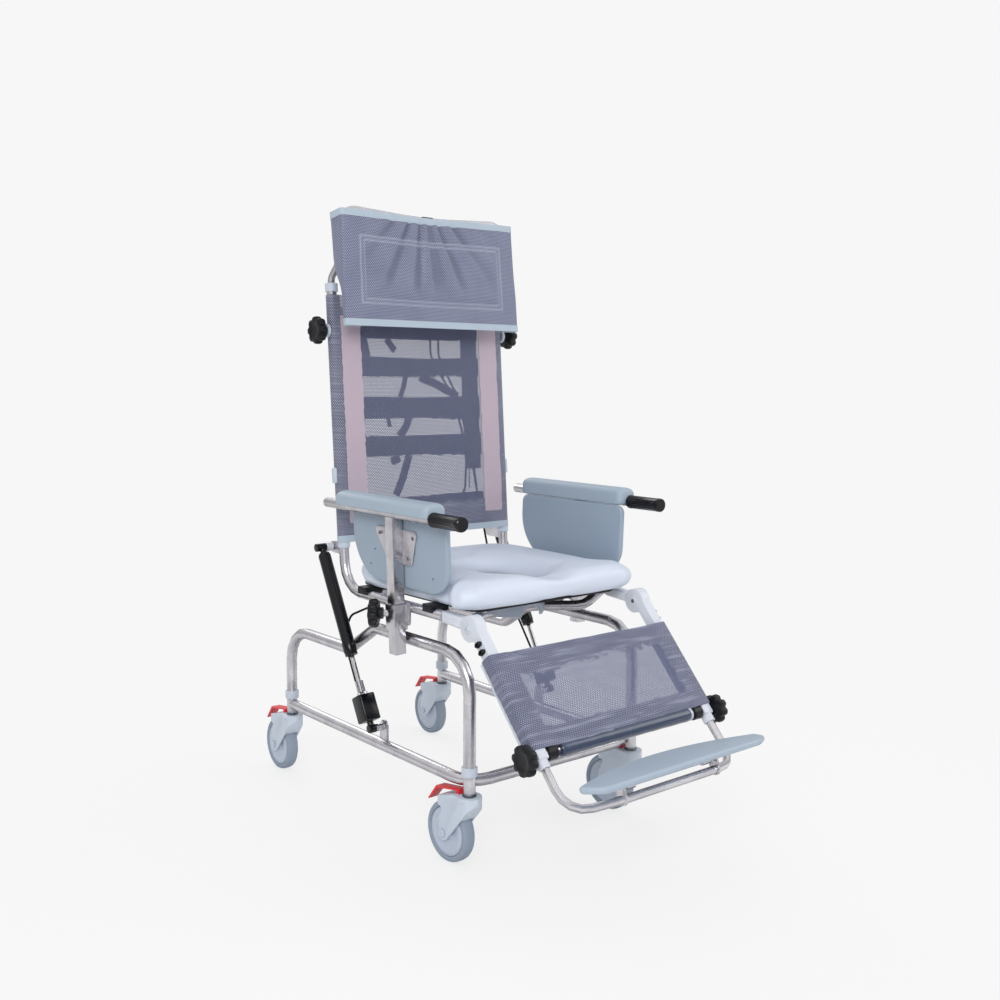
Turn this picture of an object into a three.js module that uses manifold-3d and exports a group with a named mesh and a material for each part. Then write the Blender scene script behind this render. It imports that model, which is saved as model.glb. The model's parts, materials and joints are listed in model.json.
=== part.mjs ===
import * as THREE from 'three';
import { mergeVertices } from 'three/addons/utils/BufferGeometryUtils.js';
import Module from 'manifold-3d';

// Tilt-in-space shower chair.
// Millimetres, +X to the sitter's left, +Y to the back, +Z up, floor at zero.
// The origin ends up under the middle of the whole chair.

const wasm = await Module();
wasm.setup();

// Facets
const tubeSides = 12;
const slimTubeSides = 10;
const bendSteps = 4;
const rodSides = 12;
const wheelSides = 24;
const ringSides = 16;
const discSides = 20;
const cableSides = 6;
const cornerSteps = 3;
const sleeveSides = 14;
const cushionSteps = 48;
const padSteps = 8;
const footPlateSteps = 6;

// Clearances
const seatGap = 0.3;
const runningGap = 0.5;
const wheelGap = 3;
const weldDepth = 2;
const sameSpot = 0.001;
const overrun = 4;

// Base frame
const baseHalfWidth = 226;
const baseHalfLength = 347.5;
const baseTube = 25;
const railHeight = 175;
const railCornerBend = 50;
const stubBottom = 150;
const stubTop = 190;
const collarDiameter = 31;
const collarHeight = 18;
const collarEdge = 2;
const archRearHeight = 361;
const archCrestDrop = 35;
const valleyY = 85;
const crestY = -20.6;
const archRearBend = 76.5;
const archRampBend = 40;
const archFrontBend = 75;

// Casters
const wheelDiameter = 125;
const wheelWidth = 30;
const tyreShoulder = 5.5;
const tyreEdge = 7;
const discDiameter = 100;
const discRecess = 2.5;
const hubDiameter = 34;
const axleDiameter = 10;
const casterTrail = 58;
const forkWidth = 46;
const forkNose = 26;
const forkNoseHeight = 136;
const forkTail = 80;
const forkTailTop = 134;
const forkTailLow = 119;
const forkWaist = 60;
const forkWaistHeight = 113;
const forkArmHeight = 82;
const axleBoss = 16;
const axleBossFront = 7;
const stemRing = 50;
const stemRingHeight = 9;
const pedalWidth = 22;
const pedalThickness = 4;
const pedalPivotY = 24;
const pedalPivotHeight = 148;
const pedalBarrel = 8;
const pedalPin = 4;
const pedalReach = 93;
const pedalTop = 159;
const pedalEndTop = 148;
const pedalToeHeight = 114;
const pedalToeReach = 120;
const casterTurnAngles = { front_right: 1, front_left: 4, rear_right: -3, rear_left: -4 };

// Seat and back frame
const seatTube = 22;
const seatHalfWidth = 229;
const seatRailHeight = 495;
const seatRailFront = -270;
const backCornerY = 94.7;
const backLeanAngle = 4.36;
const backTubeLength = 657;
const seatBend = 65;
const backBore = 16.8;
const backBoreDepth = 124;
const topCollar = 27;
const topCollarHeight = 18;
const topCollarBelow = 2;

// Tilt pivots
const pivotY = -102;
const pivotDrop = 33;
const pivotPin = 10;
const lugWidth = 13;
const lugRadius = 11.5;
const lugBase = 30;
const cheekThickness = 4;
const cheekRadius = 13;
const cheekTop = 44;

// Cross tubes
const frontCrossY = -257;
const frontCrossDrop = 29;
const frontCrossShoulder = 165;
const frontCrossBowY = -195;
const frontCrossBowHalf = 78;
const frontCrossBend = 45;
const rearCrossY = 40;
const pushBarTube = 22;
const pushBarDrop = 39;
const pushBarHalfWidth = 150;
const pushBarReach = 66;
const pushBarBend = 42;
const leverHalf = 35;
const leverCentre = 95;
const leverDrop = 22;
const leverPin = 5;
const leverBarrel = 10;
const leverThickness = 5;
const leverReach = 58;
const leverDip = 16;
const leverEar = 4;

// Struts
const strutX = 255;
const strutTopOut = 49.4;
const strutTopStation = 93;
const strutBottomY = -46;
const strutBottomHeight = 216;
const strutEye = 16;
const strutEyeDiameter = 18;
const strutPin = 8;
const strutSocket = 24;
const spacerDiameter = 16;
const spacerEnd = 246.7;
const tabThickness = 5;
const tabRadius = 12;
const cylinderDiameter = 28;
const cylinderStart = 14;
const cylinderEnd = 253;
const cylinderNeck = 14;
const cylinderShoulder = 6;
const bandDiameter = 30;
const bandStart = 223;
const bandEnd = 245;
const rodDiameter = 10;
const rodTop = 150;
const cylinderBoreTop = 62;
const boxStart = 343;
const boxLength = 58;
const boxSize = 38;
const boxEdge = 4;
const prongDiameter = 6;
const prongSpread = 7.5;
const prongStart = 311;
const prongRoomTop = 224;
const prongBlock = 6;
const bracketX = 223;
const bracketRadius = 13.5;

// Back sling, push handle and head rest
const slingBottom = 105.5;
const slingTopDrop = 9.1;
const sleeveWall = 2;
const slingSheet = 2.4;
const slingSag = 6;
const headTube = 16;
const headLegInside = 97;
const headBendRise = 27;
const headForward = 46;
const headShoulderRise = 65;
const headTopForward = 46;
const headTopRise = 175;
const headTopDip = 13;
const headLegBend = 22;
const headTopBend = 38;
const headDipBend = 1100;
const headClipLength = 30;
const headClipWidth = 20;
const headClipHeight = 18;
const padBottomY = 72;
const padBottomDrop = 77;
const padTiltAngle = 8.5;
const padHeight = 246;
const padHalfWidthBottom = 241.5;
const padHalfWidthTop = 240;
const padThickness = 9;
const padWrap = 14;
const padCrown = 5;
const padHem = 44;
const padHemStart = 152;
const padHemEnd = 239;
const padHemDepth = 30;
const padHemWall = 2.5;
const padBead = 14;
const headKnobDrop = 86.7;

// Star knobs
const knobDiameter = 60;
const knobThickness = 20;
const knobEdge = 3;
const knobHub = 26;
const knobHubLength = 12;
const knobStud = 8;
const knobLobes = 8;
const lobeDepthShare = 0.13;
const headKnobStand = 22;
const armKnobStand = 28;
const legKnobStand = 15;

// Seat cushion
const cushionLift = 19;
const cushionThickness = 51;
const cushionHalfWidth = 218;
const cushionRear = 95;
const cushionFront = -356;
const cushionFlareWidth = 243;
const cushionFlareStart = -288;
const cushionFlareEnd = -318;
const cushionRearBend = 45;
const cushionFlareBend = 30;
const cushionFrontBend = 38;
const cushionBow = 8;
const openingCentreY = -160;
const openingHalfWidth = 78;
const openingHalfLength = 122;
const openingDip = 14;
const openingDipWidth = 70;
const cushionSectionShares = [
  [0.07, 0], [0.90, 0], [0.972, 0.14], [1, 0.42], [0.985, 0.68], [0.925, 0.88],
  [0.78, 0.975], [0.52, 1], [0.28, 0.965], [0.11, 0.85], [0.02, 0.62], [0, 0.3],
];

// Seat board, clips and splash guard
const boardHalfWidth = 200;
const boardRear = 82;
const boardFront = -330;
const boardThickness = 7;
const boardCorner = 30;
const boardOpeningGap = 6;
const clipWidth = 30;
const clipOuter = 14;
const clipDrop = 8;
const clipInset = 200;
const clipRearY = 10;
const clipFrontY = -228;
const guardHalfWidth = 88;
const guardFront = -274;
const guardRear = -160;
const guardWall = 3;
const guardDepth = 41;
const guardNotch = 26;
const guardNotchDrop = 4;
const guardSlopeStart = -236;
const guardRise = 30;

// Armrests
const armPostX = 254;
const armPostY = -143;
const armPostDrop = 96;
const armLeanAngle = 2;
const armPost = 25;
const armRise = 293.3;
const armTubeOut = 7;
const armTube = 22;
const armTubeRear = 242.5;
const armTubeFront = -229;
const gripDiameter = 30;
const gripRear = -146;
const gripFront = -239;
const gripRibs = 5;
const gripRibDepth = 1.2;
const gripCap = 6;
const armPadInner = -27;
const armPadOuter = 25;
const armPadRear = 188;
const armPadBottom = 293;
const armPadThickness = 31;
const armPadEnd = 16;
const armPadCrown = 8;
const armPadSectionShares = [
  [-0.86, 0], [0.86, 0], [1, 0.16], [1, 0.55], [0.93, 0.8], [0.72, 0.94],
  [0, 1], [-0.72, 0.94], [-0.93, 0.8], [-1, 0.55], [-1, 0.16],
];
const armPadNoseShares = [[0, 0.62], [0.33, 0.87], [1, 1]];
const flangeThickness = 3;
const flangeTopHeight = 257;
const flangeBottomHeight = 186;
const flangeRear = 93;
const flangeFront = -62;
const flangeBottomRear = 42;
const flangeBottomFront = -42;
const flangeCorner = 8;
const sidePanelThickness = 13;
const sidePanelEdge = 4;
const sidePanelRear = 180;
const sidePanelFront = -155;
const sidePanelTop = 281;
const sidePanelBottom = 126;
const sidePanelRearCurve = 105;
const sidePanelFrontCurve = 55;
const sidePanelTopCurve = 18;
const sidePanelHole = 5;
const sidePanelHoleY = 95;
const sidePanelHoleHeight = 205;
const clampBottom = 51;
const clampTop = 104;
const clampWall = 3;
const clampPlateThickness = 3.5;
const clampPlateFront = -171;
const clampPlateRear = -108;
const clampPlateDrop = 36;
const clampPlateRise = 12;
const clampPlateCorner = 8;
const clampBoss = 15;
const clampBossReach = 27;
const clampBossDrop = 11;
const armKnobAngle = 45;

// Leg rest
const legHingeY = -359;
const legHingeDrop = 9;
const legSlopeAngle = 41.76;
const legX = 227;
const legWidth = 24;
const discRadius = 26;
const tongueWidth = 8;
const hingePin = 12;
const hubCap = 18;
const hubCapHeight = 3;
const knuckleHeight = 22;
const knuckleFront = 20;
const knuckleEdge = 4;
const knuckleBolt = 7;
const knuckleBoltHead = 2;
const knuckleBoltShares = [0.3, 0.62];
const legDepth = 26;
const legNormal = 9;
const legEnd = 289;
const legEdge = 3;
const legBoreTop = 150;
const footTube = 17;
const footTubeTop = 168;
const legPanelTop = 71.5;
const legPanelBottom = 264;
const legPanelWall = 2.5;
const legPanelSeam = 14;
const legPanelRound = 5;
const rollStation = 277;
const rollNormal = 10;
const rollDiameter = 28;
const rollHalfLength = 192;
const legBar = 16;
const legClampLength = 14;
const legClampDiameter = 26;
const legCollar = 24;
const legCollarLength = 15;
const legKnobStation = 280;
const plugLength = 15;
const plugWidth = 8;
const plugHeight = 2;
const plugStations = [40, 57];

// Foot rest
const footCornerStation = 394;
const footCornerBend = 55;
const footCrossStation = 408;
const footCrossNormal = 49;
const footCrossHalf = 126;
const footCrossBend = 30;
const footClampX = 130;
const footClampThickness = 5;
const footClampRadius = 11;
const footPivotStation = 387;
const footPivotNormal = 57;
const footPivotPin = 10;
const bushDiameter = 17;
const bushLength = 22;
const bushX = 104;
const footPlateY = -708;
const footPlateTop = 268;
const footPlateThickness = 13;
const footPlateTiltAngle = -6;
const footPlateHalfWidth = 243;
const footPlateFrontHalf = 214;
const footPlateTipBack = 14;
const footPlateRearBow = 92;
const footPlateTipRise = 40;
const footPlateEdge = 3;
const footBracketThickness = 4;
const footBracketInset = 8;

// Release cables
const cableDiameter = 5;
const cableBend = 24;
const cableOut = 13;
const cableSpread = 12;
const cableDrop = 60;
const cableRoutes = {
  left: [
    [247, 78, 396], [234, 66, 442], [204, 14, 470], [200, 76, 472],
    [206, 128, 530], [190, 160, 700], [176, 168, 790], [150, 182, 910],
  ],
  right: [
    [-247, 78, 396], [-234, 66, 442], [-204, 14, 470], [-134, 82, 472],
    [-24, 132, 524], [90, 150, 579], [158, 162, 695], [168, 170, 790], [136, 182, 910],
  ],
};

// Materials
const steel = { color: 0xaaa5a5, roughness: 0.35, metalness: 0.9 };
const plastic = { color: 0xb9c3d2, roughness: 0.5, metalness: 0 };
const tyreRubber = { color: 0x8a94a4, roughness: 0.7, metalness: 0 };
const red = { color: 0xe1393f, roughness: 0.4, metalness: 0 };
const black = { color: 0x1b1c20, roughness: 0.45, metalness: 0 };
const white = { color: 0xebeef2, roughness: 0.4, metalness: 0 };
const meshCloth = { color: 0x6e7091, roughness: 0.85, metalness: 0 };
const padFoam = { color: 0xa5b9c6, roughness: 0.6, metalness: 0 };
const cushionFoam = { color: 0xd4dcee, roughness: 0.6, metalness: 0 };
const rollFoam = { color: 0x50637a, roughness: 0.7, metalness: 0 };

// Heights that follow the seat rails
const pivotHeight = seatRailHeight - pivotDrop;
const archCrestHeight = pivotHeight - archCrestDrop;
const cushionBottom = seatRailHeight + cushionLift;
const armPostBottom = seatRailHeight - armPostDrop;
const clampPlateBottom = seatRailHeight - clampPlateDrop;
const clampPlateTop = seatRailHeight + clampPlateRise;
const clampBossHeight = seatRailHeight - clampBossDrop;
const legHingeHeight = seatRailHeight - legHingeDrop;

// Places along the back that follow its length
const pushBarStation = backTubeLength - pushBarDrop;
const slingTop = backTubeLength - slingTopDrop;
const headLegBottom = backTubeLength - headLegInside;
const headBendStation = backTubeLength + headBendRise;
const headShoulderStation = backTubeLength + headShoulderRise;
const headTopStation = backTubeLength + headTopRise;
const headKnobStation = backTubeLength - headKnobDrop;
const padBottomHeight = seatRailHeight + backTubeLength - padBottomDrop;

const sides = { left: 1, right: -1 };
const ends = { front: -1, rear: 1 };
const fullTurn = 2 * Math.PI;
const radians = THREE.MathUtils.degToRad;

// Solids and their joins

function solidOf(geometry) {
  const bare = new THREE.BufferGeometry();
  bare.setAttribute('position', geometry.getAttribute('position').clone());
  if (geometry.index) bare.setIndex(geometry.index.clone());
  const merged = mergeVertices(bare, sameSpot);
  const index = merged.index.array;
  const triangles = [];
  for (let i = 0; i < index.length; i += 3) {
    const [a, b, c] = [index[i], index[i + 1], index[i + 2]];
    if (a !== b && b !== c && c !== a) triangles.push(a, b, c);
  }
  const vertProperties = Float32Array.from(merged.getAttribute('position').array);
  const triVerts = Uint32Array.from(triangles);
  return new wasm.Manifold(new wasm.Mesh({ numProp: 3, vertProperties, triVerts }));
}

function geometryOf(solid) {
  const mesh = solid.getMesh();
  const geometry = new THREE.BufferGeometry();
  geometry.setAttribute('position', new THREE.BufferAttribute(Float32Array.from(mesh.vertProperties), 3));
  geometry.setIndex(new THREE.BufferAttribute(Uint32Array.from(mesh.triVerts), 1));
  return geometry;
}

function join(...pieces) {
  return geometryOf(pieces.map(solidOf).reduce((whole, piece) => whole.add(piece)));
}

function cut(piece, ...cutters) {
  return geometryOf(cutters.map(solidOf).reduce((rest, cutter) => rest.subtract(cutter), solidOf(piece)));
}

function common(piece, ...others) {
  return geometryOf(others.map(solidOf).reduce((rest, other) => rest.intersect(other), solidOf(piece)));
}

function signedVolume(geometry) {
  const flat = geometry.index ? geometry.toNonIndexed() : geometry;
  const place = flat.getAttribute('position');
  const [a, b, c] = [new THREE.Vector3(), new THREE.Vector3(), new THREE.Vector3()];
  let volume = 0;
  for (let i = 0; i < place.count; i += 3) {
    a.fromBufferAttribute(place, i);
    b.fromBufferAttribute(place, i + 1);
    c.fromBufferAttribute(place, i + 2);
    volume += a.dot(b.cross(c));
  }
  return volume;
}

function turnedInsideOut(geometry) {
  const flat = geometry.index ? geometry.toNonIndexed() : geometry.clone();
  const place = flat.getAttribute('position');
  const [b, c] = [new THREE.Vector3(), new THREE.Vector3()];
  for (let i = 0; i < place.count; i += 3) {
    b.fromBufferAttribute(place, i + 1);
    c.fromBufferAttribute(place, i + 2);
    place.setXYZ(i + 1, c.x, c.y, c.z);
    place.setXYZ(i + 2, b.x, b.y, b.z);
  }
  return flat;
}

function facingOut(geometry) {
  return signedVolume(geometry) < 0 ? turnedInsideOut(geometry) : geometry;
}

function onSide(geometry, side) {
  if (side > 0) return geometry.clone();
  return turnedInsideOut(geometry.clone().scale(-1, 1, 1));
}

// Basic shapes

const at = (x, y, z) => new THREE.Vector3(x, y, z);

function circle(diameter, count) {
  const points = [];
  for (let i = 0; i < count; i += 1) {
    const angle = fullTurn * i / count;
    points.push(new THREE.Vector2(diameter / 2 * Math.cos(angle), diameter / 2 * Math.sin(angle)));
  }
  return points;
}

function block(xRange, yRange, zRange) {
  const span = [xRange, yRange, zRange].map(([from, to]) => to - from);
  const middle = [xRange, yRange, zRange].map(([from, to]) => (from + to) / 2);
  return new THREE.BoxGeometry(...span).translate(...middle);
}

function flatPoints(outline) {
  return outline.map((point) => (Array.isArray(point) ? new THREE.Vector2(...point) : point));
}

function extruded(outline, depth, edge = 0, holes = []) {
  const shape = new THREE.Shape(flatPoints(outline));
  shape.holes = holes.map((hole) => new THREE.Path(flatPoints(hole)));
  const settings = { depth: depth - 2 * edge, steps: 1, bevelEnabled: edge > 0 };
  Object.assign(settings, { bevelThickness: edge, bevelSize: edge, bevelOffset: -edge, bevelSegments: 1 });
  return new THREE.ExtrudeGeometry(shape, settings).translate(0, 0, edge);
}

// Outline in X and Y, thick along Z
function plateFlat(outline, [from, to], edge = 0, holes = []) {
  return extruded(outline, to - from, edge, holes).translate(0, 0, from);
}

// Outline in Y and Z, thick along X
function plateUpright(outline, [from, to], edge = 0, holes = []) {
  const basis = new THREE.Matrix4().makeBasis(at(0, 1, 0), at(0, 0, 1), at(1, 0, 0));
  return extruded(outline, to - from, edge, holes).applyMatrix4(basis).translate(from, 0, 0);
}

function rodZ(diameter, [from, to], x = 0, y = 0, count = rodSides) {
  return plateFlat(circle(diameter, count), [from, to]).translate(x, y, 0);
}

function rodX(diameter, [from, to], y = 0, z = 0, count = rodSides) {
  return plateUpright(circle(diameter, count), [from, to]).translate(0, y, z);
}

function rodY(diameter, [from, to], x = 0, z = 0, count = rodSides) {
  const rod = plateFlat(circle(diameter, count), [-to, -from]).rotateX(Math.PI / 2);
  return rod.translate(x, 0, z);
}

function revolved(profile, count) {
  const points = profile.map(([radius, height]) => new THREE.Vector2(radius, height));
  return facingOut(new THREE.LatheGeometry(points, count));
}

// Closed outline with its corners rounded
function rounded(corners, radii) {
  const outline = [];
  corners.forEach(([x, y], i) => {
    const corner = new THREE.Vector2(x, y);
    const radius = Array.isArray(radii) ? radii[i] : radii;
    const before = new THREE.Vector2(...corners[(i + corners.length - 1) % corners.length]).sub(corner);
    const after = new THREE.Vector2(...corners[(i + 1) % corners.length]).sub(corner);
    const opening = Math.acos(before.normalize().dot(after.normalize()));
    const reach = radius / Math.tan(opening / 2);
    if (!(radius > 0)) {
      outline.push(corner);
      return;
    }
    const start = corner.clone().addScaledVector(before, reach);
    const finish = corner.clone().addScaledVector(after, reach);
    const heart = before.clone().add(after).normalize();
    heart.multiplyScalar(radius / Math.sin(opening / 2)).add(corner);
    const first = Math.atan2(start.y - heart.y, start.x - heart.x);
    let sweep = Math.atan2(finish.y - heart.y, finish.x - heart.x) - first;
    if (sweep > Math.PI) sweep -= fullTurn;
    if (sweep < -Math.PI) sweep += fullTurn;
    for (let k = 0; k <= cornerSteps; k += 1) {
      const angle = first + sweep * k / cornerSteps;
      outline.push(new THREE.Vector2(heart.x + radius * Math.cos(angle), heart.y + radius * Math.sin(angle)));
    }
  });
  return outline;
}

// Straight runs joined by round bends
class BentLine extends THREE.Curve {
  constructor(corners, radii) {
    super();
    this.places = [corners[0]];
    this.headings = [corners[1].clone().sub(corners[0]).normalize()];
    for (let i = 1; i < corners.length - 1; i += 1) {
      this.addBend(corners[i - 1], corners[i], corners[i + 1], Array.isArray(radii) ? radii[i - 1] : radii);
    }
    const last = corners.length - 1;
    this.places.push(corners[last]);
    this.headings.push(corners[last].clone().sub(corners[last - 1]).normalize());
  }

  addBend(before, corner, after, radius) {
    const along = corner.clone().sub(before).normalize();
    const onward = after.clone().sub(corner).normalize();
    const angle = along.angleTo(onward);
    const inward = onward.clone().addScaledVector(along, -along.dot(onward)).normalize();
    const start = corner.clone().addScaledVector(along, -radius * Math.tan(angle / 2));
    const heart = start.clone().addScaledVector(inward, radius);
    const steps = Math.max(2, Math.ceil(angle / (Math.PI / 2) * bendSteps));
    for (let k = 0; k <= steps; k += 1) {
      const turn = angle * k / steps;
      const place = heart.clone().addScaledVector(inward, -radius * Math.cos(turn));
      this.places.push(place.addScaledVector(along, radius * Math.sin(turn)));
      const heading = along.clone().multiplyScalar(Math.cos(turn));
      this.headings.push(heading.addScaledVector(inward, Math.sin(turn)));
    }
  }

  get steps() {
    return this.places.length - 1;
  }

  getPointAt(share) {
    return this.places[Math.round(share * this.steps)].clone();
  }

  getTangentAt(share) {
    return this.headings[Math.round(share * this.steps)].clone();
  }
}

function tube(corners, radii, diameter, count = tubeSides) {
  const line = new BentLine(corners, radii);
  const shape = new THREE.Shape(circle(diameter, count));
  return facingOut(new THREE.ExtrudeGeometry(shape, { steps: line.steps, extrudePath: line }));
}

// Skin over rings of points; the ends are capped, or the last ring meets the first
function lofted(rings, meetsItself = false) {
  const count = rings[0].length;
  const corner = [];
  const bands = meetsItself ? rings.length : rings.length - 1;
  for (let r = 0; r < bands; r += 1) {
    const [one, two] = [rings[r], rings[(r + 1) % rings.length]];
    for (let i = 0; i < count; i += 1) {
      const j = (i + 1) % count;
      corner.push(one[i], one[j], two[j], one[i], two[j], two[i]);
    }
  }
  if (!meetsItself) {
    for (const [ring, flip] of [[rings[0], true], [rings[rings.length - 1], false]]) {
      const middle = ring.reduce((sum, point) => sum.add(point), at(0, 0, 0)).divideScalar(count);
      for (let i = 0; i < count; i += 1) {
        const j = (i + 1) % count;
        corner.push(middle, ring[flip ? j : i], ring[flip ? i : j]);
      }
    }
  }
  return facingOut(new THREE.BufferGeometry().setFromPoints(corner));
}

function evenly(outline, count) {
  const path = new THREE.Path(outline);
  path.closePath();
  return path.getSpacedPoints(count).slice(0, count);
}

// Scene helpers

const chair = new THREE.Group();
const model = new THREE.Group();
chair.add(model);

function add(parent, name, geometry, finish) {
  const mesh = new THREE.Mesh(geometry, new THREE.MeshStandardMaterial(finish));
  mesh.name = name;
  parent.add(mesh);
  return mesh;
}

function frameAt(parent, place, turn) {
  const frame = new THREE.Group();
  frame.position.copy(place);
  frame.rotation.set(...turn);
  parent.add(frame);
  return frame;
}

// Base

const postTop = stubTop + seatGap;

function archTube() {
  const x = baseHalfWidth;
  const corners = [
    at(x, baseHalfLength, postTop), at(x, baseHalfLength, archRearHeight), at(x, valleyY, archRearHeight),
    at(x, crestY, archCrestHeight), at(x, -baseHalfLength, archCrestHeight), at(x, -baseHalfLength, postTop),
  ];
  return tube(corners, [archRearBend, archRampBend, archRampBend, archFrontBend], baseTube);
}

function postCollar(y) {
  const half = collarDiameter / 2;
  const profile = [
    [0, 0], [half - collarEdge, 0], [half, collarEdge], [half, collarHeight - collarEdge],
    [half - collarEdge, collarHeight], [0, collarHeight],
  ];
  return revolved(profile, rodSides).rotateX(Math.PI / 2).translate(baseHalfWidth, y, postTop);
}

function pivotLug() {
  const base = archCrestHeight + weldDepth;
  const corners = [
    [pivotY - lugBase / 2, base], [pivotY + lugBase / 2, base],
    [pivotY + lugRadius, pivotHeight + lugRadius], [pivotY - lugRadius, pivotHeight + lugRadius],
  ];
  const outline = rounded(corners, [0, 0, lugRadius - seatGap, lugRadius - seatGap]);
  const half = lugWidth / 2;
  return plateUpright(outline, [seatHalfWidth - half, seatHalfWidth + half]);
}

function tiltPin() {
  const half = seatTube / 2 - seatGap;
  return rodX(pivotPin, [seatHalfWidth - half, seatHalfWidth + half], pivotY, pivotHeight);
}

function addArches() {
  const collars = Object.values(ends).map((end) => postCollar(end * baseHalfLength));
  const arch = join(archTube(), ...collars, pivotLug(), tiltPin());
  for (const [side, sign] of Object.entries(sides)) {
    add(model, `arch_${side}`, onSide(arch, sign), steel);
  }
}

function strutBracket(sign) {
  const top = strutBottomHeight;
  const base = railHeight + baseTube / 2 - weldDepth;
  const outline = [
    [strutBottomY - bracketRadius, base], [strutBottomY + bracketRadius, base],
    [strutBottomY + bracketRadius, top + bracketRadius], [strutBottomY - bracketRadius, top + bracketRadius],
  ];
  const radii = [0, 0, bracketRadius - seatGap, bracketRadius - seatGap];
  const half = tabThickness / 2;
  const plate = plateUpright(rounded(outline, radii), [bracketX - half, bracketX + half]);
  const spacer = rodX(spacerDiameter, [bracketX, spacerEnd], strutBottomY, top);
  return onSide(join(plate, spacer), sign);
}

function addLowerFrame() {
  const [x, y, z] = [baseHalfWidth, baseHalfLength, railHeight];
  const corners = [at(x, y, z), at(x, -y, z), at(-x, -y, z), at(-x, y, z)];
  const pieces = [tube(corners, railCornerBend, baseTube)];
  for (const sign of Object.values(sides)) {
    for (const end of Object.values(ends)) {
      pieces.push(rodZ(baseTube, [stubBottom, stubTop], sign * x, end * y));
    }
    pieces.push(strutBracket(sign));
  }
  add(model, 'lower_frame', join(...pieces), steel);
}

// Casters

const axleHeight = wheelDiameter / 2;
const forkTop = stubBottom - seatGap;

function casterWheel() {
  const outer = wheelDiameter / 2 / Math.cos(Math.PI / wheelSides);
  const half = wheelWidth / 2;
  const bore = axleDiameter / 2 + seatGap;
  const hub = hubDiameter / 2;
  const disc = discDiameter / 2;
  const quarter = [
    [bore, half], [hub, half], [hub + discRecess, half - discRecess], [disc - discRecess, half - discRecess],
    [outer - tyreShoulder, half], [outer, half - tyreEdge],
  ];
  const lower = quarter.map(([radius, height]) => [radius, -height]);
  const profile = [...lower, ...quarter.slice().reverse(), lower[0]];
  return revolved(profile, wheelSides).rotateY(Math.PI / wheelSides).rotateZ(-Math.PI / 2);
}

function casterFork() {
  const corners = [
    [-forkNose, forkTop], [-forkNose, forkNoseHeight], [casterTrail - axleBossFront, axleHeight - axleBoss],
    [casterTrail + axleBoss, axleHeight - axleBoss], [casterTrail + axleBoss + weldDepth, forkArmHeight],
    [forkWaist, forkWaistHeight], [forkTail, forkTailLow], [forkTail, forkTailTop], [forkNose, forkTop],
  ];
  const small = axleBoss / 3;
  const radii = [0, 0, axleBoss - seatGap, axleBoss - seatGap, axleBoss / 2, small, small, small, 0];
  const half = forkWidth / 2;
  const side = plateUpright(rounded(corners, radii), [-half, half], collarEdge);
  const plan = [[half, -forkNose], [half, forkTail], [-half, forkTail], [-half, -forkNose]];
  const noseBend = half - seatGap;
  const planShape = plateFlat(rounded(plan, [noseBend, half / 2, half / 2, noseBend]), [0, stubBottom]);
  const ringBottom = forkTop - stemRingHeight;
  const ring = rodZ(stemRing, [ringBottom, forkTop], 0, 0, ringSides);
  const slotHalf = wheelWidth / 2 + wheelGap / 2;
  const slot = rodX(wheelDiameter + 2 * wheelGap, [-slotHalf, slotHalf], casterTrail, axleHeight, ringSides);
  const axle = rodX(axleDiameter, [-half, half], casterTrail, axleHeight);
  const pedalHalf = pedalWidth / 2 + runningGap;
  const reach = pedalBarrel / 2 + runningGap;
  const notch = block([-pedalHalf, pedalHalf], [pedalPivotY - reach, pedalPivotY + reach],
    [pedalPivotHeight - reach, stubBottom + overrun]);
  const pin = rodX(pedalPin, [-pedalHalf - weldDepth, pedalHalf + weldDepth], pedalPivotY, pedalPivotHeight);
  const body = cut(join(common(side, planShape), ring), slot, notch);
  return join(body, axle, pin);
}

function brakePedal() {
  const half = pedalWidth / 2;
  const thick = pedalThickness;
  const start = pedalPivotY - pedalBarrel / 2;
  const outline = [
    [start, pedalPivotHeight], [pedalPivotY + pedalBarrel / 2, pedalPivotHeight],
    [pedalPivotY + pedalBarrel / 2, pedalTop - thick], [pedalReach - thick, pedalEndTop - thick],
    [pedalToeReach - thick, pedalToeHeight], [pedalToeReach, pedalToeHeight],
    [pedalReach, pedalEndTop], [start, pedalTop],
  ];
  const plate = plateUpright(rounded(outline, [0, 0, 0, 0, 0, 0, thick / 2, thick / 3]), [-half, half]);
  const barrel = rodX(pedalBarrel, [-half, half], pedalPivotY, pedalPivotHeight);
  const bore = rodX(pedalPin + 2 * seatGap, [-half - overrun, half + overrun], pedalPivotY, pedalPivotHeight);
  return cut(join(plate, barrel), bore);
}

function addCasters() {
  const fork = casterFork();
  const wheel = casterWheel();
  const pedal = brakePedal();
  for (const [end, y] of Object.entries(ends)) {
    for (const [side, x] of Object.entries(sides)) {
      const corner = `${end}_${side}`;
      const swivel = radians(casterTurnAngles[corner]);
      const place = at(x * baseHalfWidth, y * baseHalfLength, 0);
      const frame = frameAt(model, place, [0, 0, swivel]);
      add(frame, `caster_fork_${corner}`, fork.clone(), plastic);
      const rolling = add(frame, `caster_wheel_${corner}`, wheel.clone(), tyreRubber);
      rolling.position.set(0, casterTrail, axleHeight);
      add(frame, `brake_pedal_${corner}`, pedal.clone(), red);
    }
  }
}

// Seat and back frame

const lean = radians(backLeanAngle);
const onBack = (x, out, station) => at(
  x,
  backCornerY + station * Math.sin(lean) + out * Math.cos(lean),
  seatRailHeight + station * Math.cos(lean) - out * Math.sin(lean),
);
const strutTop = onBack(strutX, strutTopOut, strutTopStation);
const strutBottom = at(strutX, strutBottomY, strutBottomHeight);
const backFrame = frameAt(model, onBack(0, 0, 0), [-lean, 0, 0]);

function onBackFrame(geometry) {
  const turned = geometry.clone().rotateX(-lean);
  return turned.translate(0, backCornerY, seatRailHeight);
}

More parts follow.
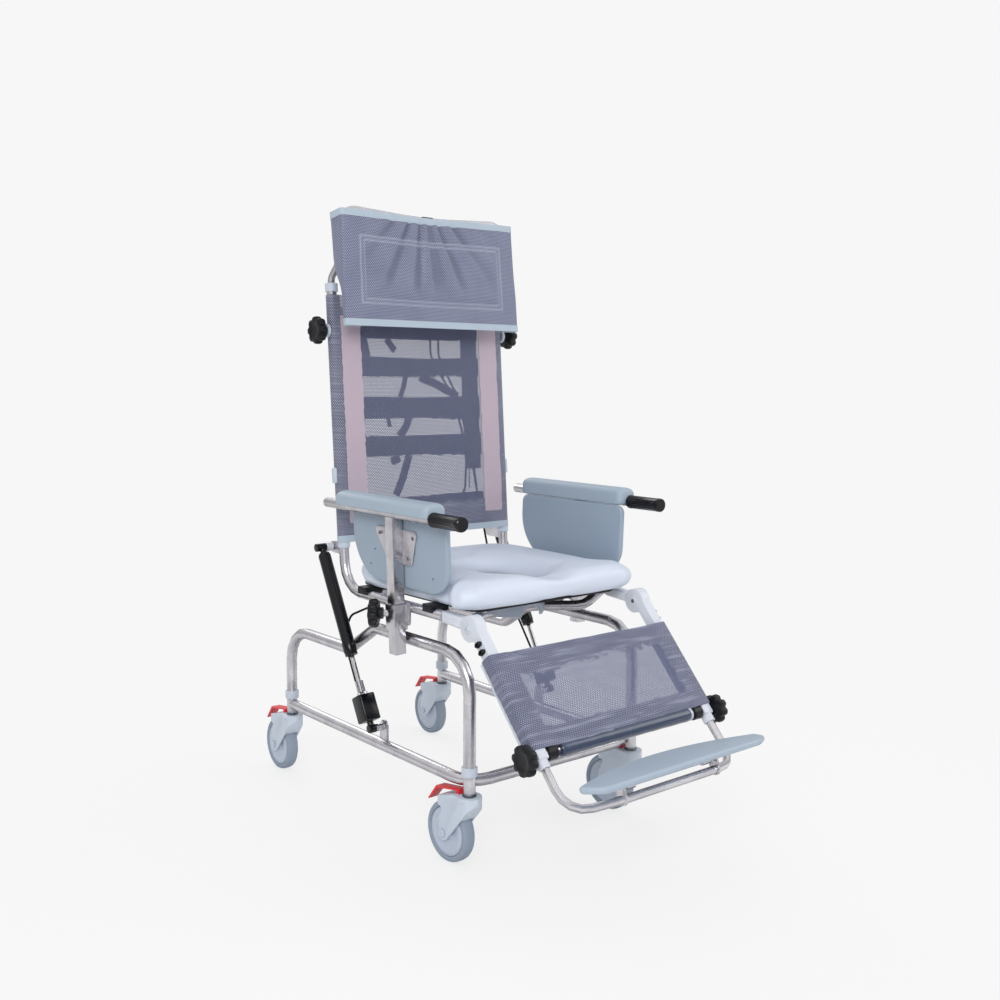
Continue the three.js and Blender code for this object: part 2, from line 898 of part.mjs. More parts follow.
function tiltCheeks() {
  const top = seatRailHeight;
  const corners = [
    [pivotY - cheekTop / 2, top], [pivotY - cheekRadius, pivotHeight - cheekRadius],
    [pivotY + cheekRadius, pivotHeight - cheekRadius], [pivotY + cheekTop / 2, top],
  ];
  const outline = rounded(corners, [0, cheekRadius - seatGap, cheekRadius - seatGap, 0]);
  const outer = seatTube / 2;
  const inner = outer - cheekThickness;
  const plates = [[-outer, -inner], [inner, outer]].map(([from, to]) => (
    plateUpright(outline, [seatHalfWidth + from, seatHalfWidth + to])
  ));
  return join(...plates, rodX(seatTube / 2, [seatHalfWidth - outer, seatHalfWidth + outer], pivotY, top));
}

function strutTab() {
  const root = seatTube / 2 - weldDepth;
  const tip = strutTopOut + tabRadius;
  const [low, high] = [strutTopStation - tabRadius, strutTopStation + tabRadius];
  const corners = [[root, low - tabThickness], [tip, low], [tip, high], [root, high]];
  const outline = rounded(corners, [0, tabRadius - seatGap, tabRadius - seatGap, 0]);
  const middle = bracketX + tabThickness / 2;
  const tab = plateUpright(outline, [middle - tabThickness / 2, middle + tabThickness / 2]);
  const spacer = rodX(spacerDiameter, [middle, spacerEnd], strutTopOut, strutTopStation);
  const pin = rodX(strutPin, [middle, spacerEnd + strutEye], strutTopOut, strutTopStation);
  return onBackFrame(join(tab, spacer, pin));
}

function backTopCollar() {
  const from = backTubeLength - topCollarBelow;
  return rodZ(topCollar, [from, from + topCollarHeight], seatHalfWidth, 0, ringSides);
}

function addSideTubes() {
  const corners = [
    at(seatHalfWidth, seatRailFront, seatRailHeight),
    at(seatHalfWidth, backCornerY, seatRailHeight),
    onBack(seatHalfWidth, 0, backTubeLength),
  ];
  const bentTube = tube(corners, seatBend, seatTube);
  const boreFrom = backTubeLength - backBoreDepth;
  const bore = rodZ(backBore, [boreFrom, backTubeLength + topCollarHeight + overrun], seatHalfWidth, 0);
  const wallSide = [seatHalfWidth, seatHalfWidth + seatTube];
  const studHole = rodX(knobStud + 2 * seatGap, wallSide, 0, headKnobStation);
  const cheekBore = rodX(pivotPin + 2 * seatGap, [seatHalfWidth - seatTube, seatHalfWidth + seatTube],
    pivotY, pivotHeight);
  const lugRoom = block(
    [seatHalfWidth - lugWidth / 2 - seatGap, seatHalfWidth + lugWidth / 2 + seatGap],
    [pivotY - cheekTop, pivotY + cheekTop], [pivotHeight - cheekTop, seatRailHeight - seatTube / 2],
  );
  const frame = join(bentTube, cut(tiltCheeks(), lugRoom), strutTab(), onBackFrame(backTopCollar()));
  const finished = cut(frame, cheekBore, onBackFrame(bore), onBackFrame(studHole));
  for (const [side, sign] of Object.entries(sides)) {
    add(model, `side_tube_${side}`, onSide(finished, sign), steel);
  }
}

function addCrossTubes() {
  const reach = seatHalfWidth - seatTube / 2 - seatGap;
  const low = seatRailHeight - frontCrossDrop;
  const half = [
    at(reach, frontCrossY, seatRailHeight), at(frontCrossShoulder, frontCrossY, low),
    at(frontCrossBowHalf, frontCrossBowY, low),
  ];
  const mirrored = half.slice().reverse().map((point) => at(-point.x, point.y, point.z));
  const gripHalf = seatTube / 2;
  const bow = tube([...half, ...mirrored], frontCrossBend, seatTube);
  const trim = [-1, 1].map((sign) => (
    rodY(seatTube + 2 * seatGap, [frontCrossY - seatTube - gripHalf, frontCrossY + seatTube + gripHalf],
      sign * seatHalfWidth, seatRailHeight)
  ));
  add(model, 'front_cross_tube', cut(bow, ...trim), steel);
  add(model, 'rear_cross_tube', rodX(seatTube, [-reach, reach], rearCrossY, seatRailHeight), steel);
}

// Push bar and release lever

const leverY = pushBarReach;
const leverStation = pushBarStation - leverDrop;

function addPushBar() {
  const start = seatHalfWidth;
  const corners = [
    at(start, 0, pushBarStation), at(pushBarHalfWidth, pushBarReach, pushBarStation),
    at(-pushBarHalfWidth, pushBarReach, pushBarStation), at(-start, 0, pushBarStation),
  ];
  const bar = tube(corners, pushBarBend, pushBarTube);
  const trims = [-1, 1].map((sign) => rodZ(
    seatTube + 2 * runningGap, [pushBarStation - pushBarTube, pushBarStation + pushBarTube],
    sign * start, 0, wheelSides,
  ));
  const beyond = [-1, 1].map((sign) => block(
    [sign * start - (sign < 0 ? seatTube : 0), sign * start + (sign > 0 ? seatTube : 0)],
    [-seatTube, seatTube], [pushBarStation - pushBarTube, pushBarStation + pushBarTube],
  ));
  const ears = [-1, 1].map((sign) => {
    const inner = leverCentre + sign * (leverHalf + runningGap);
    const outer = inner + sign * leverEar;
    const [rear, front] = [leverY + leverBarrel / 2, leverY - leverBarrel / 2];
    const low = leverStation - leverBarrel / 2;
    const outline = [[front, low], [rear, low], [rear, pushBarStation], [front, pushBarStation]];
    return plateUpright(outline, [Math.min(inner, outer), Math.max(inner, outer)]);
  });
  const pinHalf = leverHalf + runningGap + leverEar / 2;
  const pin = rodX(leverPin, [leverCentre - pinHalf, leverCentre + pinHalf], leverY, leverStation);
  const whole = join(cut(bar, ...trims, ...beyond), ...ears, pin);
  add(backFrame, 'push_bar', whole, steel);
}

function addReleaseLever() {
  const [from, to] = [leverCentre - leverHalf, leverCentre + leverHalf];
  const barrel = rodX(leverBarrel, [from, to], leverY, leverStation);
  const half = leverThickness / 2;
  const blade = [
    [leverY, leverStation - half], [leverY + leverReach, leverStation - leverDip - half],
    [leverY + leverReach, leverStation - leverDip + half], [leverY, leverStation + half],
  ];
  const plate = plateUpright(blade, [from, to], leverThickness / 5);
  const bore = rodX(leverPin + 2 * seatGap, [from - overrun, to + overrun], leverY, leverStation);
  add(backFrame, 'release_lever', cut(join(barrel, plate), bore), black);
}

// Back sling

function sleeveArc(sign, radius, fromAngle, toAngle) {
  const points = [];
  for (let i = 0; i <= sleeveSides; i += 1) {
    const angle = fromAngle + (toAngle - fromAngle) * i / sleeveSides;
    points.push([sign * (seatHalfWidth + radius * Math.cos(angle)), radius * Math.sin(angle)]);
  }
  return points;
}

function addBackSling() {
  const inner = seatTube / 2 + runningGap;
  const outer = inner + sleeveWall;
  const frontAngle = -Math.PI / 2;
  const rearSheet = -outer + slingSheet;
  const backAngle = frontAngle + fullTurn - Math.acos(-rearSheet / outer);
  const left = sleeveArc(1, outer, frontAngle, backAngle);
  const right = sleeveArc(-1, outer, backAngle, frontAngle);
  const sag = (share) => slingSag * Math.sin(Math.PI * share);
  const span = seatHalfWidth * 2;
  const steps = sleeveSides / 2;
  const between = (offset) => {
    const points = [];
    for (let i = 1; i < steps; i += 1) {
      points.push([-seatHalfWidth + span * i / steps, offset + sag(i / steps)]);
    }
    return points;
  };
  const outline = [...left, ...between(rearSheet).reverse(), ...right, ...between(-outer)];
  const hole = (sign) => circle(2 * inner, rodSides).map((point) => (
    new THREE.Vector2(point.x + sign * seatHalfWidth, point.y)
  ));
  const points = outline.map(([x, y]) => new THREE.Vector2(x, y));
  const sheet = plateFlat(points, [slingBottom, slingTop], 0, [hole(1), hole(-1)]);
  const cutters = [-1, 1].flatMap((sign) => {
    const barRoom = pushBarTube + 2 * overrun;
    const slot = block(
      [sign * seatHalfWidth - (sign > 0 ? barRoom : 0), sign * seatHalfWidth + (sign < 0 ? barRoom : 0)],
      [rearSheet + sleeveWall, barRoom],
      [pushBarStation - barRoom / 2, pushBarStation + barRoom / 2],
    );
    const ends = [sign * seatHalfWidth, sign * (seatHalfWidth + seatTube)].sort((a, b) => a - b);
    return [slot, rodX(knobStud + 2 * runningGap, ends, 0, headKnobStation)];
  });
  add(backFrame, 'back_mesh', cut(sheet, ...cutters), meshCloth);
}

// Head rest

function addHeadFrame() {
  const x = seatHalfWidth;
  const half = [
    at(x, 0, headLegBottom), at(x, 0, headBendStation), at(x, -headForward, headShoulderStation),
    at(x, -headTopForward, headTopStation),
  ];
  const mirrored = half.slice().reverse().map((point) => at(-point.x, point.y, point.z));
  const middle = at(0, -headTopForward, headTopStation - headTopDip);
  const radii = [headLegBend, headLegBend, headTopBend, headDipBend, headTopBend, headLegBend, headLegBend];
  const frame = tube([...half, middle, ...mirrored], radii, headTube, slimTubeSides);
  const clipHalf = headClipLength / 2;
  const clip = block([-clipHalf, clipHalf],
    [-headTopForward - headClipWidth / 2, -headTopForward + headClipWidth / 2],
    [middle.z - headClipHeight / 2, middle.z + headClipHeight / 2]);
  add(backFrame, 'headrest_frame', join(frame, clip), steel);
}

const padBack = (share) => padThickness / 2 - padWrap * share;

function padRing(share) {
  const half = THREE.MathUtils.lerp(padHalfWidthBottom, padHalfWidthTop, share);
  const crown = padCrown * Math.sin(Math.PI * share);
  const rear = padBack(share);
  const face = rear - padThickness;
  const bead = padBead / 2;
  const bulge = bead * Math.SQRT1_2;
  const middle = rear - padThickness / 2;
  const outline = [];
  for (let i = 0; i <= padSteps; i += 1) {
    const across = -1 + 2 * i / padSteps;
    outline.push([across * (half - padBead), face - crown * (1 - across * across)]);
  }
  outline.push(
    [half - bead, middle - bead], [half - bead + bulge, middle - bulge], [half, middle],
    [half - bead + bulge, middle + bulge], [half - bead, middle + bead], [half - padBead, rear],
    [-half + padBead, rear], [-half + bead, middle + bead], [-half + bead - bulge, middle + bulge],
    [-half, middle], [-half + bead - bulge, middle - bulge], [-half + bead, middle - bead],
  );
  return outline.map(([x, y]) => at(x, y, padHeight * share));
}

function padSheet() {
  const rings = [];
  for (let i = 0; i <= padSteps; i += 1) rings.push(padRing(i / padSteps));
  return lofted(rings);
}

function padPocket() {
  const wall = padHemWall;
  const [start, end] = [padHemStart / padHeight, padHemEnd / padHeight];
  const shell = (inset, from, to) => {
    const outer = padHalfWidthTop - inset;
    const inner = padHalfWidthTop - padHem + inset;
    const low = padBack(from) - (inset > 0 ? 0 : padThickness / 2);
    const high = padBack(to) - (inset > 0 ? 0 : padThickness / 2);
    const ring = (share, front) => [
      at(inner, front, share), at(outer, front, share),
      at(outer, padHemDepth - inset, share), at(inner, padHemDepth - inset, share),
    ];
    return lofted([ring(padHeight * from, low), ring(padHeight * to, high)]);
  };
  const spill = overrun / padHeight;
  return { body: shell(0, start, end), room: shell(wall, start - spill, end + spill) };
}

function addHeadPad() {
  const frame = frameAt(model, at(0, padBottomY, padBottomHeight), [-radians(padTiltAngle), 0, 0]);
  const { body, room } = padPocket();
  const pad = join(padSheet(), body, onSide(body, -1));
  add(frame, 'headrest_pad', cut(pad, room, onSide(room, -1)), meshCloth);
}

// Star knobs, stud first along +Z

function starKnob(studStand) {
  const count = knobLobes * 3;
  const outline = [];
  for (let i = 0; i < count; i += 1) {
    const angle = fullTurn * i / count;
    const dent = lobeDepthShare * (1 - Math.cos(knobLobes * angle)) / 2;
    const radius = knobDiameter / 2 * (1 - dent);
    outline.push(new THREE.Vector2(radius * Math.cos(angle), radius * Math.sin(angle)));
  }
  const from = studStand + knobHubLength;
  const head = plateFlat(outline, [from, from + knobThickness], knobEdge);
  const hub = rodZ(knobHub, [studStand, from + knobThickness / 2]);
  return { head, hub, end: from + knobThickness };
}

function knobWithStud(studStart, studStand) {
  const { head, hub } = starKnob(studStand);
  return join(head, hub, rodZ(knobStud, [studStart, studStand + knobHubLength]));
}

function addHeadKnobs() {
  const studStart = headTube / 2 + seatGap;
  const knob = knobWithStud(studStart, headKnobStand).rotateY(Math.PI / 2);
  knob.translate(seatHalfWidth, 0, headKnobStation);
  for (const [side, sign] of Object.entries(sides)) {
    add(backFrame, `head_knob_${side}`, onSide(knob, sign), black);
  }
}

// Seat cushion with its opening

function cushionOutline() {
  const half = [
    [cushionHalfWidth, cushionRear], [cushionHalfWidth, cushionFlareStart],
    [cushionFlareWidth, cushionFlareEnd], [cushionFlareWidth, cushionFront],
  ];
  const bends = [cushionRearBend, cushionFlareBend, cushionFlareBend, cushionFrontBend];
  const other = half.map(([x, y]) => [-x, y]).reverse();
  const front = [[0, cushionFront - cushionBow]];
  const rear = [[0, cushionRear + cushionBow]];
  return rounded([...half, ...front, ...other, ...rear], [...bends, 0, ...bends.slice().reverse(), 0]);
}

function openingPoint(angle, extra = 0) {
  return at(
    (openingHalfWidth + extra) * Math.cos(angle),
    openingCentreY + (openingHalfLength + extra) * Math.sin(angle),
    0,
  );
}

function addCushion() {
  const rings = evenly(cushionOutline(), cushionSteps).map((edge) => {
    const angle = Math.atan2(
      (edge.y - openingCentreY) / openingHalfLength,
      edge.x / openingHalfWidth,
    );
    const rim = openingPoint(angle);
    return cushionSectionShares.map(([across, height]) => {
      const x = THREE.MathUtils.lerp(rim.x, edge.x, across);
      const y = THREE.MathUtils.lerp(rim.y, edge.y, across);
      const near = y < openingCentreY ? Math.exp(-((x / openingDipWidth) ** 2)) : 0;
      const dip = openingDip * near * (1 - across) * height;
      return at(x, y, cushionBottom + cushionThickness * height - dip);
    });
  });
  add(model, 'seat_cushion', lofted(rings, true), cushionFoam);
}

// Seat board with rail clips

const boardTop = cushionBottom - seatGap;
const boardBottom = boardTop - boardThickness;

function railClip(y) {
  const railTop = seatRailHeight + seatTube / 2;
  const outer = seatHalfWidth + clipOuter;
  const from = railTop - clipDrop;
  const along = [y - clipWidth / 2, y + clipWidth / 2];
  const hook = block([clipInset - weldDepth, outer], along, [from, boardTop]);
  const rail = rodY(seatTube + 2 * seatGap, [y - clipWidth, y + clipWidth], seatHalfWidth, seatRailHeight);
  return cut(hook, rail);
}

function addSeatBoard() {
  const x = boardHalfWidth;
  const outline = rounded([[x, boardFront], [x, boardRear], [-x, boardRear], [-x, boardFront]], boardCorner);
  const hole = [];
  for (let i = 0; i < ringSides; i += 1) {
    const point = openingPoint(fullTurn * i / ringSides, boardOpeningGap);
    hole.push(new THREE.Vector2(point.x, point.y));
  }
  const pieces = [plateFlat(outline, [boardBottom, boardTop], 0, [hole])];
  for (const sign of Object.values(sides)) {
    for (const y of [clipRearY, clipFrontY]) pieces.push(onSide(railClip(y), sign));
  }
  add(model, 'seat_board', join(...pieces), black);
}

function addSplashGuard() {
  const outerArc = [];
  const innerArc = [];
  const steps = ringSides / 2;
  for (let i = 0; i <= steps; i += 1) {
    const angle = -Math.PI * i / steps;
    const depth = guardRear - guardFront;
    const [c, s] = [Math.cos(angle), Math.sin(angle)];
    outerArc.push(new THREE.Vector2(guardHalfWidth * c, guardRear + depth * s));
    innerArc.push(new THREE.Vector2((guardHalfWidth - guardWall) * c, guardRear + (depth - guardWall) * s));
  }
  const top = boardBottom - seatGap;
  const bottom = top - guardDepth;
  const wall = plateFlat([...outerArc, ...innerArc.reverse()], [bottom, top]);
  const through = [guardFront - guardWall, guardRear];
  const notch = rodY(2 * guardNotch, through, 0, bottom - guardNotchDrop, ringSides);
  const slope = [
    [guardSlopeStart, bottom - overrun], [guardRear + overrun, bottom - overrun],
    [guardRear + overrun, bottom + guardRise], [guardSlopeStart, bottom],
  ];
  const reach = guardHalfWidth + overrun;
  add(model, 'splash_guard', cut(wall, notch, plateUpright(flatPoints(slope), [-reach, reach])), padFoam);
}

// Armrests, built in the leaning frame of the post

const armTurn = radians(armLeanAngle);

function armFrame() {
  const half = armPost / 2;
  const post = block([-half, half], [-half, half], [0, armPadBottom - seatGap]);
  const bar = rodY(armTube, [armTubeFront, armTubeRear], armTubeOut, armRise);
  const corners = [
    [flangeBottomFront, flangeBottomHeight], [flangeBottomRear, flangeBottomHeight],
    [flangeRear, flangeTopHeight], [flangeFront, flangeTopHeight],
  ];
  const flange = plateUpright(rounded(corners, flangeCorner), [-half - flangeThickness, -half + seatGap]);
  return join(post, bar, flange);
}

function armPad() {
  const front = gripRear + seatGap;
  const nose = armPadNoseShares.map(([share, fullness]) => [front + armPadEnd * share, fullness]);
  const tail = armPadNoseShares.map(([share, fullness]) => [armPadRear - armPadEnd * share, fullness]);
  const half = (armPadOuter - armPadInner) / 2;
  const middle = (armPadOuter + armPadInner) / 2;
  const rings = [...nose, ...tail.reverse()].map(([y, fullness]) => (
    armPadSectionShares.map(([across, height]) => {
      const narrow = across * (half - (1 - fullness) * armPadCrown);
      const rise = height * (armPadThickness - (1 - fullness) * armPadCrown);
      return at(middle + narrow, y, armPadBottom + rise);
    })
  ));
  const groove = rodY(armTube + 2 * seatGap, [front - overrun, armPadRear + overrun], armTubeOut, armRise);
  return cut(lofted(rings), groove);
}

function sidePanel() {
  const corners = [
    [sidePanelFront, sidePanelBottom], [sidePanelRear, sidePanelBottom],
    [sidePanelRear, sidePanelTop], [sidePanelFront, sidePanelTop],
  ];
  const curves = [sidePanelFrontCurve, sidePanelRearCurve, sidePanelTopCurve, sidePanelTopCurve];
  const outline = rounded(corners, curves);
  const outer = -armPost / 2 - flangeThickness - seatGap;
  const panel = plateUpright(outline, [outer - sidePanelThickness, outer], sidePanelEdge);
  const inward = [outer - sidePanelEdge, outer + overrun];
  const hole = rodX(sidePanelHole, inward, sidePanelHoleY, sidePanelHoleHeight, cableSides);
  return cut(panel, hole);
}

function handGrip() {
  const outer = gripDiameter / 2;
  const bore = armTube / 2 + seatGap;
  const length = gripRear - gripFront;
  const profile = [[0, 0], [outer - gripCap / 2, 0], [outer, gripCap / 2]];
  const pitch = (length - gripCap) / gripRibs;
  for (let i = 0; i < gripRibs; i += 1) {
    const start = gripCap + pitch * i;
    profile.push([outer, start + pitch / 2], [outer - gripRibDepth, start + pitch * 3 / 4]);
  }
  const floor = armTubeFront - gripFront - seatGap;
  profile.push([outer, length], [bore, length], [bore, floor], [0, floor]);
  return revolved(profile, rodSides).translate(armTubeOut, gripFront, armRise);
}

function addArmrests() {
  const pieces = [
    ['armrest_frame', armFrame(), steel], ['arm_pad', armPad(), padFoam],
    ['side_panel', sidePanel(), padFoam], ['hand_grip', handGrip(), black],
  ];
  for (const [side, sign] of Object.entries(sides)) {
    const place = at(sign * armPostX, armPostY, armPostBottom);
    const frame = frameAt(model, place, [0, sign * armTurn, 0]);
    for (const [name, geometry, finish] of pieces) {
      add(frame, `${name}_${side}`, onSide(geometry, sign), finish);
    }
  }
}

// Armrest clamps and their knobs

const bossTurn = radians(armKnobAngle);

function inArmFrame(geometry) {
  return geometry.clone().rotateY(armTurn).translate(armPostX, armPostY, armPostBottom);
}

function alongBoss(geometry) {
  const turned = geometry.clone().rotateY(Math.PI / 2).rotateZ(bossTurn);
  return turned.translate(0, 0, clampBossHeight - armPostBottom);
}

function clampSleeve() {
  const outer = armPost / 2 + runningGap + clampWall;
  return block([-outer, outer], [-outer, outer], [clampBottom, clampTop]);
}

function addClamps() {
  const room = armPost / 2 + runningGap;
  const bore = block([-room, room], [-room, room], [clampBottom - overrun, clampTop + overrun]);
  const boss = alongBoss(rodZ(clampBoss, [armPost / 2, clampBossReach]));
  const studHole = alongBoss(rodZ(knobStud + 2 * seatGap, [0, clampBossReach + overrun]));
  const corners = [
    [clampPlateFront, clampPlateBottom], [clampPlateRear, clampPlateBottom],
    [clampPlateRear, clampPlateTop], [clampPlateFront, clampPlateTop],
  ];
  const face = seatHalfWidth + seatTube / 2 + seatGap;
  const plate = plateUpright(rounded(corners, clampPlateCorner), [face, face + clampPlateThickness]);
  const sleeve = inArmFrame(join(clampSleeve(), boss));
  const clamp = cut(join(sleeve, plate), inArmFrame(bore), inArmFrame(studHole));
  const studStart = armPost / 2 * Math.SQRT2 + seatGap;
  const knob = inArmFrame(alongBoss(knobWithStud(studStart, armKnobStand)));
  for (const [side, sign] of Object.entries(sides)) {
    add(model, `armrest_clamp_${side}`, onSide(clamp, sign), steel);
    add(model, `arm_knob_${side}`, onSide(knob, sign), black);
  }
}

// Tilt struts, built hanging from the top bolt

const strutDrop = strutTop.clone().sub(strutBottom);
const strutLength = strutDrop.length();
const strutTurn = Math.atan2(strutDrop.y, strutDrop.z);

function strutCylinder() {
  const half = strutEye / 2;
  const socket = rodX(strutEyeDiameter, [-half, strutSocket - half], 0, 0, ringSides);
  const radius = cylinderDiameter / 2;
  const band = bandDiameter / 2;
  const profile = [
    [0, -strutEyeDiameter / 3], [cylinderNeck / 2, -strutEyeDiameter / 3], [cylinderNeck / 2, -cylinderStart],
    [radius - cylinderShoulder / 2, -cylinderStart], [radius, -cylinderStart - cylinderShoulder],
    [radius, -bandStart], [band, -bandStart], [band, -bandEnd], [radius, -bandEnd],
    [radius, -cylinderEnd], [0, -cylinderEnd],
  ];
  const body = revolved(profile, ringSides).rotateX(Math.PI / 2);
  const bore = rodZ(rodDiameter + 2 * runningGap, [-cylinderEnd - overrun, -cylinderBoreTop]);
  const pinRoom = rodX(strutPin + 2 * seatGap, [-half - overrun, half + overrun / 2]);
  const prongRooms = [-1, 1].map((sign) => (
    rodZ(prongDiameter + 2 * runningGap, [-cylinderEnd - overrun, -prongRoomTop], sign * prongSpread, 0)
  ));
  return cut(join(socket, body), bore, pinRoom, ...prongRooms);
}

function strutRod() {
  const end = -boxStart + seatGap;
  const rod = rodZ(rodDiameter, [end, -rodTop]);
  const prongs = [-1, 1].map((sign) => (
    rodZ(prongDiameter, [end + prongBlock / 2, -prongStart], sign * prongSpread, 0, cableSides)
  ));
  const reach = prongSpread + prongDiameter / 2;
  const bridge = block([-reach, reach], [-prongDiameter, prongDiameter], [end, end + prongBlock]);
  return join(rod, ...prongs, bridge);
}

function releaseBox() {
  const half = boxSize / 2;
  const plan = rounded([[half, -half], [half, half], [-half, half], [-half, -half]], boxEdge);
  const body = plateFlat(plan, [-boxStart - boxLength, -boxStart], boxEdge / 2);
  const neck = rodZ(cylinderNeck, [-strutLength, -boxStart - boxLength / 2]);
  const eye = rodX(strutEyeDiameter, [-strutEye / 2, strutEye / 2], 0, -strutLength, ringSides);
  return join(body, neck, eye);
}

function addStruts() {
  const cylinder = strutCylinder();
  const rod = strutRod();
  const box = releaseBox();
  for (const [side, sign] of Object.entries(sides)) {
    const place = at(sign * strutX, strutTop.y, strutTop.z);
    const frame = frameAt(model, place, [-strutTurn, 0, 0]);
    add(frame, `strut_cylinder_${side}`, onSide(cylinder, sign), black);
    add(frame, `strut_rod_${side}`, onSide(rod, sign), steel);
    add(frame, `release_box_${side}`, onSide(box, sign), black);
  }
}

// Leg rest; in its frame -Z runs down the leg and -Y faces forward

const legTurn = -radians(legSlopeAngle);
const legFrame = frameAt(model, at(0, legHingeY, legHingeHeight), [legTurn, 0, 0]);
const cheek = legWidth / 2;

function knuckle() {
  const start = seatRailFront - seatGap;
  const front = legHingeY + knuckleFront;
  const half = knuckleHeight / 2;
  const middle = (seatRailHeight + legHingeHeight) / 2;
  const corners = [
    [start, seatRailHeight - half], [start, seatRailHeight + half],
    [front, middle + half], [front, middle - half],
  ];
  const body = plateUpright(flatPoints(corners), [legX - cheek, legX + cheek], knuckleEdge);
  const onHinge = (diameter, reach, count) => (
    rodX(diameter, [legX - reach, legX + reach], legHingeY, legHingeHeight, count)
  );
  const tongueHalf = tongueWidth / 2;
  const room = onHinge(2 * (discRadius + runningGap), cheek + overrun, discSides);
  const tongue = onHinge(2 * (discRadius - knuckleEdge), tongueHalf, discSides);
  const strap = block([legX - tongueHalf, legX + tongueHalf], [legHingeY, front + knuckleEdge],
    [middle - half + knuckleEdge, middle + half - knuckleEdge]);
  const bore = onHinge(hingePin + 2 * seatGap, legWidth, rodSides);
  const head = [legX + cheek - weldDepth, legX + cheek + knuckleBoltHead];
  const bolts = knuckleBoltShares.map((share) => {
    const y = THREE.MathUtils.lerp(start, front, share);
    const z = THREE.MathUtils.lerp(seatRailHeight, middle, share);
    return rodX(knuckleBolt, head, y, z, cableSides);
  });
  return cut(join(cut(body, room), tongue, strap, ...bolts), bore);
}

function legArm() {
  const tongueHalf = tongueWidth / 2 + seatGap;
  const across = [legX - cheek, legX + cheek];
  const discs = rodX(2 * discRadius, across, 0, 0, discSides);
  const half = legDepth / 2;
  const corners = [
    [-legNormal - half, discRadius / 2], [-legNormal + half, discRadius / 2],
    [-legNormal + half, -legEnd], [-legNormal - half, -legEnd],
  ];
  const bar = plateUpright(rounded(corners, [legEdge, 0, legEdge, legEdge]), across, legEdge / 2);
  const tongueRoom = 2 * (discRadius - knuckleEdge + runningGap);
  const slotBar = rodX(tongueRoom, [legX - tongueHalf, legX + tongueHalf], 0, 0, discSides);
  const strapRoom = [legX - tongueHalf, legX + tongueHalf];
  const reach = discRadius + overrun;
  const strapHalf = (knuckleHeight + legHingeDrop) / 2 - knuckleEdge + runningGap;
  const knuckleRoom = join(
    block(strapRoom, [0, reach], [-reach, reach]),
    block(strapRoom, [-strapHalf, weldDepth], [0, reach]),
  );
  const pin = rodX(hingePin, across);
  const caps = rodX(hubCap, [legX - cheek - hubCapHeight, legX + cheek + hubCapHeight], 0, 0, ringSides);
  const collarEnd = -legEnd - legCollarLength;
  const bore = rodZ(footTube + 2 * seatGap, [collarEnd - overrun, -legBoreTop], legX, -legNormal);
  const collar = rodZ(legCollar, [collarEnd, -legEnd + weldDepth], legX, -legNormal, ringSides);
  const [plugFront, plugRear] = [-legNormal - plugWidth / 2, -legNormal + plugWidth / 2];
  const plugs = plugStations.map((station) => {
    const [low, high] = [-station - plugLength / 2, -station + plugLength / 2];
    const face = [[plugFront, low], [plugRear, low], [plugRear, high], [plugFront, high]];
    const outline = rounded(face, plugWidth / 2 - seatGap);
    return plateUpright(outline, [legX + cheek - weldDepth, legX + cheek + plugHeight]);
  });
  const shell = cut(join(discs, bar, caps), slotBar, knuckleRoom);
  const studHole = rodX(knobStud + 2 * seatGap, [legX, legX + legWidth], -legNormal, -legKnobStation);
  return cut(join(shell, pin, collar, ...plugs), bore, studHole);
}

function addLegArms() {
  const arm = legArm();
  const seatPiece = knuckle();
  const studStart = footTube / 2 + seatGap;
  const knob = knobWithStud(studStart, legKnobStand).rotateY(Math.PI / 2);
  knob.translate(legX, -legNormal, -legKnobStation);
  for (const [side, sign] of Object.entries(sides)) {
    add(model, `leg_knuckle_${side}`, onSide(seatPiece, sign), white);
    add(legFrame, `leg_arm_${side}`, onSide(arm, sign), white);
    add(legFrame, `leg_knob_${side}`, onSide(knob, sign), black);
  }
}

function addLegRoll() {
  const reach = legX - cheek - seatGap;
  const bar = rodX(legBar, [-reach, reach], -rollNormal, -rollStation);
  const clamps = [-1, 1].map((sign) => {
    const ends = [sign * (rollHalfLength + seatGap), sign * (rollHalfLength + seatGap + legClampLength)];
    return rodX(legClampDiameter, ends.sort((a, b) => a - b), -rollNormal, -rollStation);
  });
  add(legFrame, 'leg_frame', join(bar, ...clamps), steel);
  const roll = rodX(rollDiameter, [-rollHalfLength, rollHalfLength], -rollNormal, -rollStation, ringSides);
  const boreReach = rollHalfLength + overrun;
  const bore = rodX(legBar + 2 * seatGap, [-boreReach, boreReach], -rollNormal, -rollStation);
  add(legFrame, 'leg_roll', cut(roll, bore), rollFoam);
}

function addLegPanel() {
  const room = runningGap;
  const outerX = legX + cheek + room + legPanelWall + plugHeight;
  const front = -legNormal - legDepth / 2 - room;
  const rear = -legNormal + legDepth / 2 + room;
  const inner = legX - cheek - room;
  const seam = inner - legPanelSeam;
  const [face, back] = [front - legPanelWall, rear + legPanelWall];
  const corners = [
    [-outerX, face], [outerX, face], [outerX, back], [seam, back],
    [seam, front], [-seam, front], [-seam, back], [-outerX, back],
  ];
  const round = legPanelRound;
  const outline = rounded(corners, [round, round, round, 0, 0, 0, 0, round]);
  const rooms = [-1, 1].map((sign) => {
    const across = [sign * inner, sign * (outerX - legPanelWall)].sort((a, b) => a - b);
    return block(across, [front, rear], [-legPanelBottom - overrun, -legPanelTop + overrun]);
  });
  const panel = cut(plateFlat(outline, [-legPanelBottom, -legPanelTop]), ...rooms);
  add(legFrame, 'leg_panel', panel, meshCloth);
}

// Foot rest

